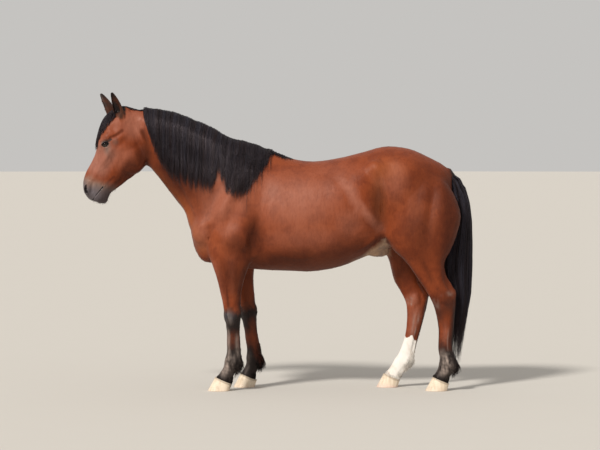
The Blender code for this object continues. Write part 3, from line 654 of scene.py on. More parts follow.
def buildFlesh():
    barrel = body['barrel']
    parts = [loft('trunk', [(x, top, x, low, 0, w * barrel, ft, fb, extra)
                            for x, top, low, w, ft, fb, extra in body['trunk']], 80),
             loft('neck', [(ax, az, bx, bz, 0, w * barrel, fa, fb, extra)
                           for ax, az, bx, bz, w, fa, fb, extra in body['neck']], 80),
             loft('head', [(ax, az, bx, bz, 0, w * head['width'], fa, fb, extra)
                           for ax, az, bx, bz, w, fa, fb, extra in head['rows']], 72)]
    for word in sides:
        parts += [limbLoft('fore', word), limbLoft('hind', word)]
    parts += bothSides(body['masses']) + bothSides(head['masses'])
    parts.append(loft('dock', [(x - r, z, x + r, z, 0, r * 1.1, 2, 2, 0) for x, z, r in body['dock']], 24))
    flesh = melt('skin', parts, form['voxel'], 14)
    print('skin, first form:', len(flesh.data.vertices), 'points')

    clay = Clay(flesh)
    clay.sideStrokes(bodyStrokes)
    ribs = form['ribs']
    for i in range(ribs['count']):
        x = ribs['first'] + ribs['apart'] * i
        clay.stroke(clay.sidePath([(x - 0.03, 1.26), (x + 0.02, 1.12), (x, 0.96)]), ribs['radius'],
                    ribs['height'])
    clay.layStrokes(middleStrokes, list)
    limbStrokes(clay, 'fore', foreStrokes)
    limbStrokes(clay, 'hind', hindStrokes)
    clay.tree = None
    sculptHead(clay)

    flesh = melt('skin', [flesh] + [hollowEar(word) for word in sides], form['fineVoxel'], 4)
    print('skin, second form:', len(flesh.data.vertices), 'points')
    refine(flesh, [((x, side * y, z), radius) for level in ('finer', 'finest') for side in (-1, 1)
                   for (x, y, z), radius in face[level]])
    clay = Clay(flesh)
    sculptFace(clay)
    clay.moved -= form['inset']
    clay.press()

    keep = flesh.vertex_groups.new(name='keep')
    points, spared = clay.points, form['spared']
    eyeNear = np.minimum.reduce([np.linalg.norm(points - np.array(eyes['at']) * (1, side, 1), axis=1)
                                 for side in (1, -1)])
    share = np.where(points[:, 2] < spared['legs'][0], spared['legs'][1], 0)
    share = np.where(points[:, 0] < spared['head'][0], spared['head'][1], share)
    share = np.where(eyeNear < spared['eyes'][0], spared['eyes'][1], share)
    for level in np.unique(share[share > 0]):
        keep.add(np.flatnonzero(share == level).tolist(), float(level), 'REPLACE')
    thin = flesh.modifiers.new('thin', 'DECIMATE')
    thin.vertex_group = 'keep'
    thin.invert_vertex_group = True
    thin.vertex_group_factor = 0.25
    flesh.data.calc_loop_triangles()
    thin.ratio = form['faces'] / len(flesh.data.loop_triangles)
    thin.use_collapse_triangulate = True
    bake(flesh)
    flesh.vertex_groups.clear()
    print('skin:', len(flesh.data.polygons), 'triangles')
    return flesh


def limbPlaces(points):  # for each leg: how far from its axis each point is, and its place along the joints
    found = {}
    for kind in ('fore', 'hind'):
        for word in sides:
            away, along = pathDistance(points, limbPath(kind, word))
            found[kind, word] = away, along * (len(limbs[kind + 'Joints'][word]) - 1)
    return found


def ease(value, low, high, fade):  # 1 between low and high, fading over fade on each side
    return smoothStep(low - fade, low + fade, value) * smoothStep(high + fade, high - fade, value)


markings = {
    'stocking': 5.62,  # place along the right hind leg where the white begins
    'maneRoots': (-0.812, -0.024),
    # side view: middle, half sizes, share
    # painted shade (deep): behind and under the elbow, in the flank hollow and the stifle fold, at the
    # throat, along the neck, on the rump, thigh, triceps and forearm
    'deep': {
        'behindElbow': ((-0.14, 0.93), (0.095, 0.19), 1.0), 'underElbow': ((-0.22, 0.88), (0.14, 0.12), 0.8),
        'flank': ((0.612, 1.14), (0.066, 0.24), 0.85), 'throat': ((-0.806, 1.405), (0.096, 0.165), 1.0),
        'neck': ((-0.585, 1.3), (0.32, 0.27), 1.0), 'neckRoot': ((-0.44, 1.15), (0.1, 0.12), 0.4),
        'rump': ((0.905, 1.22), (0.2, 0.28), 0.5), 'thigh': ((0.87, 0.96), (0.19, 0.28), 0.65),
        'tricepsLine': ((-0.175, 1.09), (0.05, 0.12), 0.45), 'forearm': ((-0.27, 0.7), (0.13, 0.19), 0.8),
        'stifleFold': ((0.555, 0.96), (0.05, 0.11), 0.3)},
    # painted highlight (rosy): a pinkish sheen on the shoulder, barrel, elbow, flank, loin, rump and chest
    'paintedHighlight': {
        'shoulder': ((-0.33, 1.13), (0.19, 0.19), 0.56), 'barrel': ((0.12, 1.15), (0.38, 0.27), 0.6),
        'elbow': ((-0.27, 0.96), (0.09, 0.11), 0.25), 'flank': ((0.43, 1.02), (0.14, 0.15), 0.45),
        'barrelLow': ((0.16, 0.93), (0.4, 0.14), 0.4), 'rump': ((0.71, 1.27), (0.11, 0.17), 0.42),
        'loin': ((0.33, 1.33), (0.24, 0.09), 0.3), 'chest': ((-0.46, 0.96), (0.08, 0.17), 0.5)},
    'warm': {'flank': ((0.612, 1.18), (0.07, 0.23), 0.7), 'hip': ((0.66, 1.33), (0.14, 0.11), 0.5)},
    # lines in the side view; the eye, mouth, jaw and crest lines carry painted shade in creases, the flank
    # line a painted highlight along a ridge
    'eyeLine': [(-1.07, 1.503), (-1.045, 1.514), (-1.02, 1.52), (-1.0135, 1.531), (-0.986, 1.544),
                (-0.957, 1.562), (-0.945, 1.571)],
    'lidLine': [(-1.038, 1.5065), (-1.022, 1.51), (-1.01, 1.519)],
    'mouthFold': [(-1.052, 1.232), (-1.025, 1.262), (-0.992, 1.292)],
    'jawLine': [(-0.815, 1.566), (-0.803, 1.54), (-0.785, 1.505)],
    'crestLine': [(-0.99, 1.452), (-1.014, 1.408), (-1.044, 1.352)],
    'throatLine': [(-0.74, 1.32), (-0.6, 1.16), (-0.51, 1.0), (-0.45, 0.86)],
    'flankLine': [(0.385, 1.28), (0.455, 1.175), (0.525, 1.08), (0.62, 0.99)]}

# streaks on the legs: share, span along the joints with its fade (without a fade it goes on down), degrees
# round the leg, their spread, and how the streak is broken up
legMarks = {
    'fore': {
        'black': [(0.8, (1.9, 2.6), 0, 50), (0.72, (3.3, 4.4, 0.3), 180, 34), (1.0, (4.3, 4.8), 0, 75)],
        # painted sheen: a bluish highlight over the front of the black knee
        'slateSheen': [(1.0, (2.7, 3.05, 0.14), 128, 42)],
        # pale grey hair on the fetlock and pastern, painted highlight streaks on the knee and down the cannon
        'greyHairAndSheen': [(0.95, (4.6, 5.75, 0.25), 135, 62, 'speckled'), (0.8, (3.4, 4.7, 0.3), 148, 22),
                (0.35, (2.6, 3.2, 0.2), 125, 40), (0.7, (3.7, 4.7, 0.25), 42, 18)],
        # painted shade in the forearm's groove, on its back and on its inner side
        'deep': [(0.85, (0.9, 2.5, 0.2), 122, 15), (0.9, (0.7, 2.5, 0.2), 12, 42),
                 (0.6, (0.8, 2.6, 0.2), 270, 70)],
        # painted highlight down the front and the outside of the forearm
        'paintedHighlight': [(0.4, (0.9, 2.3, 0.2), 158, 20), (0.3, (0.7, 1.9, 0.2), 82, 18)]},
    'hindleft': {
        'black': [(0.8, (4.2, 4.9), 180, 26), (0.85, (3.7, 4.8), 5, 48), (1.0, (6.55, 6.85), 0, 75),
                  (0.42, (3.95, 5.2, 0.3), None, 0, 'blotched')],
        # pale grey hair on the pastern, painted highlight on the hock's front and point and down the cannon
        'greyHairAndSheen': [(1.45, (6.2, 7.6, 0.3), 115, 52, 'speckled'), (0.4, (3.85, 4.35, 0.12), 150, 14),
                (0.42, (3.78, 3.98, 0.06), 38, 18), (0.4, (5.2, 6.4, 0.25), 62, 10)],
        # painted shade on the gaskin's back, in its groove, on its inner side and round the hock
        'deep': [(0.8, (2.0, 3.7, 0.2), 20, 32), (0.6, (2.2, 3.6, 0.2), 105, 18),
                 (0.75, (2.0, 4.2, 0.3), 270, 75), (0.7, (3.6, 4.7, 0.3), None, 0)],
        # painted highlight on the outside of the cannon
        'paintedHighlight': [(0.5, (5.0, 5.8, 0.3), 100, 26)]},
    'hindright': {
        'black': [(0.9, (3.95, 6.35, 0.25), 5, 36), (0.5, (4.05, 4.75, 0.25), 45, 34, 'blotched')],
        # painted highlight on the front of the hock
        'greyHairAndSheen': [(0.55, (3.85, 4.3, 0.12), (140, -140), 30, 'grained')],
        # painted shade on the gaskin's back, in its groove and, lighter, all round it
        'deep': [(0.8, (2.0, 3.7, 0.2), 20, 32), (0.6, (2.2, 3.6, 0.2), 105, 18),
                 (0.28, (2.0, 3.5, 0.3), None, 0)],
        # painted highlight on the sides of the cannon and the hock above the stocking
        'paintedHighlight': [(0.65, (4.3, 5.6, 0.3), (100, -100), 50), (0.5, (3.7, 4.3, 0.15), (130, -130), 50)]}}


def wander(points, scale, seed):  # smooth noise from a few waves, from -1 to 1
    waves = np.random.default_rng(seed)
    total = np.zeros(len(points))
    for _ in range(7):
        way = waves.normal(size=3)
        total += np.sin(points @ (way / np.linalg.norm(way)) * scale * waves.uniform(0.6, 1.7)
                        + waves.uniform(0, 6.3))
    return total / 3.6


def around(points, kind, word):  # degrees round a limb: 0 behind, 90 outside, 180 in front
    axis = limbPath(kind, word)[::-1]
    x, y, z = points.T
    back = x - np.interp(z, axis[:, 2], axis[:, 0])
    side = (y - np.interp(z, axis[:, 2], axis[:, 1])) * sides[word]
    return np.degrees(np.arctan2(side, back))


def band(angle, middle, spread):  # 1 at an angle, fading over spread degrees
    off = (angle - middle + 180) % 360 - 180
    return np.exp(-(off / spread) ** 2)


def patches(x, z, places):  # soft ovals in the side view
    found = np.zeros(len(x))
    for middle, half, share in places.values():
        reach = np.hypot((x - middle[0]) / half[0], (z - middle[1]) / half[1])
        found = np.maximum(found, share * smoothStep(1.0, 0.15, reach))
    return found


def streaks(marks, place, angle, breaks):
    found = np.zeros(len(place))
    for strength, reach, middles, spread, *broken in marks:
        share = strength * (ease(place, *reach) if len(reach) == 3 else smoothStep(*reach, place))
        if middles is not None:
            share = share * np.maximum.reduce([band(angle, middle, spread)
                                               for middle in np.atleast_1d(middles)])
        for kind in broken:
            share = share * breaks[kind]
        found = np.maximum(found, share)
    return found


def paintLegs(points, rough, fine):
    x, y, z = points.T
    painted = {name: np.zeros(len(x)) for name in ('black', 'white', 'slateSheen', 'greyHairAndSheen', 'deep', 'paintedHighlight')}
    breaks = {'speckled': 0.8 + 0.4 * fine, 'blotched': 0.7 + 0.5 * rough, 'grained': 0.6 + 0.6 * fine}
    for (kind, word), (_, place) in limbPlaces(points).items():
        angle = around(points, kind, word)
        both = np.abs((angle + 180) % 360 - 180)
        here = (y > 0 if word == 'right' else y <= 0) & (z < 0.93)
        here = here & (x < 0.2 if kind == 'fore' else (x > 0.4) & (place > 2.0))
        marks = legMarks[kind if kind == 'fore' else kind + word]
        found = {name: streaks(rows, place, angle, breaks) for name, rows in marks.items()}
        if kind == 'fore':
            soft = place + 0.1 * rough + 0.03 * fine
            knee = smoothStep(2.25, 2.95, soft) * (1 - 0.46 * ease(soft, 3.6, 4.25, 0.5))
            found['black'] = np.maximum(found['black'], knee)
            if word == 'right':  # browner up the sides
                brown = 0.45 * ease(place, 3.0, 5.0, 0.3) * band(both, 60, 50)
                found['black'] = found['black'] * (1 - brown)
        elif word == 'left':
            shank = smoothStep(4.9, 6.7, place + 0.14 * rough + 0.04 * fine)
            found['black'] = np.maximum(found['black'], shank)
        else:
            start = markings['stocking'] + 0.1 * rough + 0.05 * fine
            edge = smoothStep(start - 0.04, start + 0.04, place + 0.1 * np.sin(np.radians(angle) * 3))
            found['white'] = edge * (1 - 0.95 * band(angle, 5, 30) * smoothStep(6.45, 6.0, place))
            # painted highlight: pale streaks down both sides of the cannon above the stocking
            pale = 0.75 * ease(place, 4.6, 5.55, 0.25) * (band(both, 62, 13) + 0.7 * band(both, 105, 12))
            found['greyHairAndSheen'] = np.maximum(found['greyHairAndSheen'], pale)
        for name, share in found.items():
            painted[name] = np.where(here, share, painted[name])
    return painted


# how far down the head, from the poll at 0 to the lips at 0.58; how far towards the face; the share of head
def headPlaces(x, z):
    return ((x + 0.86) * -0.48 + (z - 1.66) * -0.877, (x + 0.86) * -0.877 + (z - 1.66) * 0.48,
            smoothStep(-0.78, -0.84, x) * (z > 1.1))


def paintHead(points, rough):
    x, y, z = points.T
    out = np.abs(y)
    flat = np.stack([x, out, z], axis=1)
    down, front, onHead = headPlaces(x, z)
    slit, hole = np.full(len(x), 1.0), np.zeros(len(x))
    for side in (-1, 1):
        off = points - np.array(eyes['at']) * (1, side, 1)
        edge, _, away = eyeSlit(off)
        edge = edge + 0.0045 * smoothStep(0.017, 0.026, away)
        slit = np.where(np.linalg.norm(off, axis=1) < 0.045, edge, slit)
        reach, level = nostrilPlaces(points, side)[:2]
        hole = np.maximum(hole, smoothStep(1.35, 0.8, reach) * (level < 0.014) * (level > -0.05))
    lip = pathDistance(flat, smoothRows(face['mouth'], 6))[0]

    def oval(middle, half, inner):
        return onHead * smoothStep(1.0, inner, np.linalg.norm((flat - middle) / half, axis=1))
    ring = np.maximum(oval((-1.03, 0.075, 1.466), (0.034, 0.06, 0.062), 0.25),
                      0.55 * oval((-0.985, 0.085, 1.503), (0.03, 0.06, 0.03), 0.2))
    earDark, earIn = np.zeros(len(x)), np.zeros(len(x))
    for word, side in sides.items():
        away, along = pathDistance(points, ears['at'][word])
        here = (away < 0.055) & (y * side > 0.012) & (z > 1.65)
        lower = smoothStep(0.02, 0.029, away) * smoothStep(0.3, 0.6, along)
        edge = np.maximum(smoothStep(0.55, 0.9, along), lower)
        reach = smoothStep(-0.02, 0.16, along + 0.05 * rough) * smoothStep(0.047, 0.037, away)
        earDark = np.where(here, np.maximum(earDark, edge * reach * 0.75), earDark)
        earIn = np.where(here, reach, earIn)
    earFoot = smoothStep(1.0, 0.3, np.hypot((x + 0.95) / 0.024, (z - 1.662) / 0.034)) * (out > 0.035)
    return {'muzzle': onHead * smoothStep(0.4, 0.555, down + 0.014 * rough - 0.12 * (front + 0.02)),
            'salmon': onHead * ease(down, 0.24, 0.425, 0.045) * smoothStep(-0.045, 0.02, front),
            'chin': onHead * smoothStep(0.4, 0.49, down) * smoothStep(-0.025, -0.065, front),
            'eyeRing': np.maximum(ring, 0.75 * smoothStep(0.02, 0.008, slit)),
            'bare': np.maximum.reduce([hole, smoothStep(0.0085, 0.0035, slit),
                                       smoothStep(0.009, 0.004, lip) * onHead]),
            'earIn': np.maximum(earIn, earFoot * (0.9 + 0.2 * rough)), 'earDark': earDark}


def underHair(x, y, z, fine):  # under the mane, the forelock and the tail the skin takes their colour
    out, near = np.abs(y), y <= 0
    down, front, onHead = headPlaces(x, z)
    crestZ, edgeZ = (np.interp(x, *zip(*mane[line])) for line in ('crest', 'edge'))
    onCrest = smoothStep(0.12, -0.04, x) * smoothStep(-0.82, -0.804, x)
    onCrest = onCrest * smoothStep(0.034, 0.012, crestZ - z)
    locks = np.interp(z, [1.5, 1.56, 1.62], [0.03, 0.04, 0.036])
    under = onHead * smoothStep(locks + 0.012, locks - 0.006, np.where(near, out, out * 1.7)) * (down < 0.16)
    return np.maximum.reduce([
        ease(x, *markings['maneRoots'], 0.008) * near * smoothStep(0.045, 0.085, z - edgeZ),
        onCrest * smoothStep(0.022, 0.01, out),
        under * smoothStep(0.18, 0.1, down) * smoothStep(0.0, 0.012, front) * smoothStep(-0.905, -0.93, x),
        smoothStep(1.03, 1.062, x + 0.008 * fine) * smoothStep(0.045, 0.03, out) * smoothStep(1.02, 1.06, z),
        ease(x, -0.925, -0.806, 0.01) * smoothStep(0.012, 0.003, out) * smoothStep(1.62, 1.67, z) * 0.7])


def paintSheath(x, z, out, normals):
    low = smoothStep(0.006, -0.006, z - 0.8 - (x - 0.5) * 0.8)
    sheath = ease(x, 0.49, 0.68, 0.01) * (z < 0.98) * (z > 0.76) * low * smoothStep(0.24, 0.2, out) \
        * (normals[:, 2] < 0.3)
    return np.where((x > 0.64) & (out > 0.115), sheath * smoothStep(0.665, 0.65, x), sheath)


def paintMarkings(points, normals):  # shares from 0 to 1, in the drawing's frame
    x, y, z = points.T
    out = np.abs(y)
    rough, fine = wander(points, 60, 3), wander(points, 260, 4)
    legs, onFace = paintLegs(points, rough, fine), paintHead(points, rough)
    down, front, onHead = headPlaces(x, z)
    upFace = np.stack([x, np.zeros(len(x)), z], axis=1)

    def line(name):
        return pathDistance(upFace, [(lineX, 0, lineZ) for lineX, lineZ in markings[name]])

    def spot(spotX, spotZ, wide, core):
        return smoothStep(wide, core, np.hypot(x + spotX, z - spotZ))
    # painted shade where the coat turns under or in and in creases, warm along the throat and the cheeks, a
    # rosy painted highlight where it faces the sky
    eyeLine, along = line('eyeLine')
    eyeLine = eyeLine / (1 + 0.7 * smoothStep(0.55, 1.0, along))
    turned = smoothStep(0.22, 0.8, np.clip(-normals[:, 2], 0, 1))
    # painted shade: under the body, in the legs' grooves, in the patches, on the inner sides, behind the
    # buttocks, along the jaw, mouth, eye and facial crest lines, and under the jaw
    deep = np.maximum.reduce([
        turned * (z > 0.6) * (0.76 - 0.5 * smoothStep(-0.36, -0.42, x) * (z < 1.1)), legs['deep'],
        patches(x, z, markings['deep']) * (1 - 0.55 * (y > 0)),
        smoothStep(0.16, 0.04, out) * ease(z, 0.6, 0.98, 0.05) * 0.55,
        smoothStep(0.915, 1.03, x) * ease(z, 0.72, 1.34, 0.08) * 0.9,
        smoothStep(0.03, 0.002, line('jawLine')[0]) * 0.8,
        onHead * smoothStep(0.014, 0.002, line('mouthFold')[0]) * 0.55,
        onHead * smoothStep(0.011, 0.001, eyeLine)
        * (0.62 + 0.14 * rough + 0.3 * smoothStep(-1.005, -1.02, x)),
        onHead * smoothStep(0.02, 0.004, line('crestLine')[0]) * 0.22,
        onHead * smoothStep(-0.05, -0.1, front) * smoothStep(0.14, 0.32, down) * 0.95])
    warm = np.maximum(smoothStep(0.055, 0.0, line('throatLine')[0]) * 0.75, patches(x, z, markings['warm']))
    # painted highlight: the patches, the legs, the poll, the temple, the cheek, the ridge in front of the
    # flank and the nose
    paintedHighlight = np.maximum.reduce([
        patches(x, z, markings['paintedHighlight']) * (x > -0.78), legs['paintedHighlight'],
        onHead * spot(0.865, 1.61, 0.13, 0.03) * 0.8, spot(0.835, 1.62, 0.1, 0.02) * 0.6,
        onHead * spot(0.968, 1.602, 0.065, 0.01) * 0.48, onHead * spot(0.935, 1.4, 0.11, 0.02) * 0.46,
        smoothStep(0.045, 0.008, line('flankLine')[0]) * 0.75,
        onHead * ease(down, 0.2, 0.4, 0.05) * smoothStep(-0.02, 0.05, front) * 0.5])
    black = np.maximum.reduce([legs['black'], onFace.pop('earDark'), 0.94 * underHair(x, y, z, fine),
                               0.8 * onHead * smoothStep(0.0105, 0.002, line('lidLine')[0])])
    return {'black': black, **{name: legs[name] for name in ('white', 'slateSheen', 'greyHairAndSheen')}, **onFace,
            'sheath': paintSheath(x, z, out, normals), 'deep': deep, 'warm': warm,
            'paintedHighlight': paintedHighlight * (1 - 0.85 * deep)}


def headTurn(points):  # the drawn head turned about the poll, easing out down the neck
    px = head['poll'][0]
    ahead = (points[:, 0] + 0.86) * -0.9756 + (points[:, 2] - 1.7) * -0.2195
    angle = math.radians(head['yaw']) * smoothStep(-0.06, 0.06, ahead) * (points[:, 2] > 1.0)
    x, y = points[:, 0] - px, points[:, 1]
    turned = points.copy()
    turned[:, 0] = px + x * np.cos(angle) - y * np.sin(angle)
    turned[:, 1] = x * np.sin(angle) + y * np.cos(angle)
    return turned


hoof = {
    'at': {'fore_left': (-0.352, -0.12), 'fore_right': (-0.203, 0.12),
           'hind_left': (0.963, -0.118), 'hind_right': (0.674, 0.118)},
    'length': 0.132, 'halfWidth': 0.06, 'toe': 0.084, 'heel': 0.043, 'leanToe': 0.047, 'leanHeel': 0.012,
    'rings': 7, 'ringHeight': 0.0007, 'around': 56,
    # the sole: share of the ground edge, height
    'sole': [(0.93, 0.0), (0.9, 0.0015), (0.84, 0.005), (0.6, 0.0075), (0.3, 0.0085)]}

x, y = hoof['at']['fore_left']
drawnShift = np.array((frameHoof[0].x - (x - hoof['length'] / 2), frameHoof[0].y - (y - hoof['halfWidth']),
                       0))


def addAttribute(mesh, name, values, kind='FLOAT'):
    attribute = mesh.attributes.new(name, kind, 'POINT')
    field = 'value' if kind == 'FLOAT' else 'vector'
    attribute.data.foreach_set(field, np.asarray(values, np.float32).ravel())


def finishSkin(flesh):
    points, normals = readPoints(flesh), readNormals(flesh)
    for name, share in paintMarkings(points, normals).items():
        addAttribute(flesh.data, name, share)
    writePoints(flesh, headTurn(points) + drawnShift)
    flesh.data.shade_smooth()
    print('skin painted')


def buildHoof(place):
    x, y = hoof['at'][place]
    toeX, heelX = x - hoof['length'] / 2, x + hoof['length'] / 2
    outside = -1 if 'left' in place else 1
    rise = np.concatenate([[0.0, 0.012, 0.04], np.linspace(0.08, 0.9, 30), [0.93, 0.955, 0.975, 0.99, 1.0]])
    rings = []
    for up in rise:
        front, back = toeX + hoof['leanToe'] * up, heelX + hoof['leanHeel'] * up
        width = hoof['halfWidth'] * (1 - 0.22 * up)
        ring = section((front, hoof['toe'] * up, back, hoof['heel'] * up, y, width, 2.1, 2.8, 0.0),
                       hoof['around'])
        bevel = 0.0022 * math.exp(-(up / 0.018) ** 2)  # the ground edge is worn round
        crown = 0.0016 * math.exp(-((up - 0.955) / 0.03) ** 2)  # the soft band under the hair
        growth = hoof['ringHeight'] * math.sin(up * math.pi * 2 * hoof['rings']) * smoothStep(0.02, 0.15, up)
        way = ring - ring.mean(axis=0)
        way[:, 2] = 0
        way /= np.linalg.norm(way, axis=1)[:, None]
        angle = np.arctan2(way[:, 1] * outside, way[:, 0])
        wobble = 0.6 + 0.4 * np.sin(angle * 3 + up * 4)
        heelNotch = 0.006 * np.exp(-(angle / 0.22) ** 2) * (1 - up)  # between the heels
        ring = ring + way * (growth * wobble + crown - bevel - heelNotch)[:, None]
        ring[:, 2] = np.maximum(ring[:, 2], 0.0)
        rings.append(ring)
    base, cap = rings[0], rings[-1]
    middle, centre = base.mean(axis=0), cap.mean(axis=0)
    for share, height in hoof['sole']:
        inner = middle + (base - middle) * (share, share, 0)
        inner[:, 2] = height
        rings.insert(0, inner)
    rings.append(centre + (cap - centre) * 0.8 - (0, 0, 0.003))
    piece = skinOver('hoof_' + place + '_horn', rings)
    points = readPoints(piece)
    wall = hoof['heel'] + (hoof['toe'] - hoof['heel']) * smoothStep(heelX, toeX + 0.03, points[:, 0])
    addAttribute(piece.data, 'rise', (points[:, 2] - points[:, 2].min()) / wall)
    writePoints(piece, points + drawnShift)
    piece.data.shade_smooth()
    return piece


def buildEye(word):
    side, tilt, edge = sides[word], math.radians(eyes['tilt']), eyes['cornea']
    bm = bmesh.new()
    bmesh.ops.create_uvsphere(bm, u_segments=64, v_segments=40, radius=eyes['radius'])
    for v in bm.verts:
        flat = math.hypot(v.co.x, v.co.y)
        if v.co.z > 0 and flat < edge:  # the cornea stands a little out
            v.co.z += eyes['bulge'] * (1 - (flat / edge) ** 2)
    mesh = bpy.data.meshes.new('eye')
    bm.to_mesh(mesh)
    bm.free()
    piece = addObject('eye_' + word + '_ball', mesh)
    addAttribute(mesh, 'gaze', readPoints(piece) / eyes['radius'], 'FLOAT_VECTOR')
    # the sphere's pole is its pupil: +Z turns to face out, a little ahead and down
    gaze = Vector((-0.3, side * 0.95, -0.06)).normalized()
    slit = Vector((math.cos(tilt), 0, math.sin(tilt)))
    slit = (slit - gaze * slit.dot(gaze)).normalized()
    mesh.transform(Matrix((slit, gaze.cross(slit), gaze)).transposed().to_4x4())
    writePoints(piece, headTurn(readPoints(piece) + np.array(eyes['at']) * (1, side, 1)) + drawnShift)
    mesh.shade_smooth()
    return piece


class Wire:  # a node's output that takes part in sums
    def __init__(self, board, socket):
        self.board, self.socket = board, socket

    def maths(self, operation, *others):
        return self.board.add('ShaderNodeMath', {'operation': operation}, dict(enumerate((self, *others))))

    def __add__(self, other):
        return self.maths('ADD', other)

    def __mul__(self, other):
        return self.maths('MULTIPLY', other)

    def __sub__(self, other):
        return self.maths('SUBTRACT', other)

    def __rsub__(self, other):
        return self.maths('MULTIPLY', -1).maths('ADD', other)

    def __truediv__(self, other):
        return self.maths('DIVIDE', other)

    def __rtruediv__(self, other):
        return self.maths('POWER', -1) * other

    def __pow__(self, other):
        return self.maths('POWER', other)

    __radd__, __rmul__ = __add__, __mul__

    def least(self, other):
        return self.maths('MINIMUM', other)

    def step(self, low, high):  # 0 at low, 1 at high, eased
        return self.board.add('ShaderNodeMapRange', {'interpolation_type': 'SMOOTHSTEP', 'clamp': True},
                              {'Value': self, 'From Min': low, 'From Max': high, 'To Min': 0.0,
                               'To Max': 1.0})


class Board:  # a node tree, filled one node at a time
    def __init__(self, tree):
        self.tree = tree

    def node(self, kind, settings=(), values=()):
        made = self.tree.nodes.new(kind)
        for name, value in dict(settings).items():
            setattr(made, name, value)
        for key, value in dict(values).items():
            if isinstance(key, int):
                socket = made.inputs[key]
            else:
                socket = next(s for s in made.inputs if key in (s.identifier, s.name) and s.enabled)
            if isinstance(value, Wire):
                self.tree.links.new(value.socket, socket)
            else:
                socket.default_value = value
        return made

    def add(self, kind, settings=(), values=(), out=None):
        made = self.node(kind, settings, values)
        shown = [s for s in made.outputs if s.enabled]
        return Wire(self, shown[0] if out is None else next(s for s in shown if s.name == out))

    def bump(self, height, strength=1.0, distance=1.0):
        return self.add('ShaderNodeBump', {}, {'Strength': strength, 'Distance': distance, 'Height': height})

    def vector(self, operation, values):
        return self.add('ShaderNodeVectorMath', {'operation': operation}, values)

    def share(self, name):  # a share from 0 to 1 kept on the mesh
        return self.add('ShaderNodeAttribute', {'attribute_name': name}, out='Fac')

    def noise(self, vector, scale, detail=2.0, roughness=0.5, distortion=0.0):
        return self.add('ShaderNodeTexNoise', {}, {'Vector': vector, 'Scale': scale, 'Detail': detail,
                                                   'Roughness': roughness, 'Distortion': distortion},
                        out='Fac')

    def stretched(self, vector, scale, turn=(0, 0, 0)):
        return self.add('ShaderNodeMapping', {}, {'Vector': vector, 'Scale': scale, 'Rotation': turn})

    def mix(self, share, a, b, blend='MIX'):  # between two colours
        return self.add('ShaderNodeMix', {'data_type': 'RGBA', 'blend_type': blend},
                        {'Factor_Float': share, 'A_Color': a, 'B_Color': b})


def newMaterial(name):
    material = bpy.data.materials.new(name)
    material.use_nodes = True
    board = Board(material.node_tree)
    material.node_tree.nodes.clear()
    shader = board.node('ShaderNodeBsdfPrincipled')
    output = board.node('ShaderNodeOutputMaterial')
    material.node_tree.links.new(shader.outputs[0], output.inputs['Surface'])

    def fill(**values):
        for name, value in values.items():
            socket = shader.inputs[name]
            if isinstance(value, Wire):
                material.node_tree.links.new(value.socket, socket)
            else:
                socket.default_value = value
    return material, board, fill


coatLook = {
    # the deep colour is painted shade; the rosy colour a painted highlight; the slate colour a painted bluish
    # sheen on black hair; the ash colour pale grey hair and painted highlight streaks
    'base': (0.22, 0.043, 0.0115, 1), 'light': (0.3, 0.075, 0.027, 1), 'dark': (0.118, 0.018, 0.005, 1),
    'paintedHighlight': (0.338, 0.122, 0.077, 1), 'warm': (0.33, 0.088, 0.022, 1), 'deep': (0.034, 0.0044, 0.0009, 1),
    'black': (0.0115, 0.0085, 0.0085, 1), 'slateSheen': (0.07, 0.072, 0.092, 1), 'greyHairAndSheen': (0.33, 0.262, 0.225, 1),
    'white': (0.84, 0.8, 0.745, 1), 'cream': (0.66, 0.5, 0.38, 1), 'muzzle': (0.118, 0.1, 0.108, 1),
    'taupe': (0.23, 0.15, 0.112, 1), 'salmon': (0.32, 0.128, 0.088, 1), 'chin': (0.05, 0.036, 0.038, 1),
    'eyeRing': (0.16, 0.104, 0.084, 1), 'bare': (0.016, 0.013, 0.014, 1), 'sheath': (0.409, 0.264, 0.172, 1),
    'earIn': (0.052, 0.0195, 0.011, 1), 'roughness': 0.5}


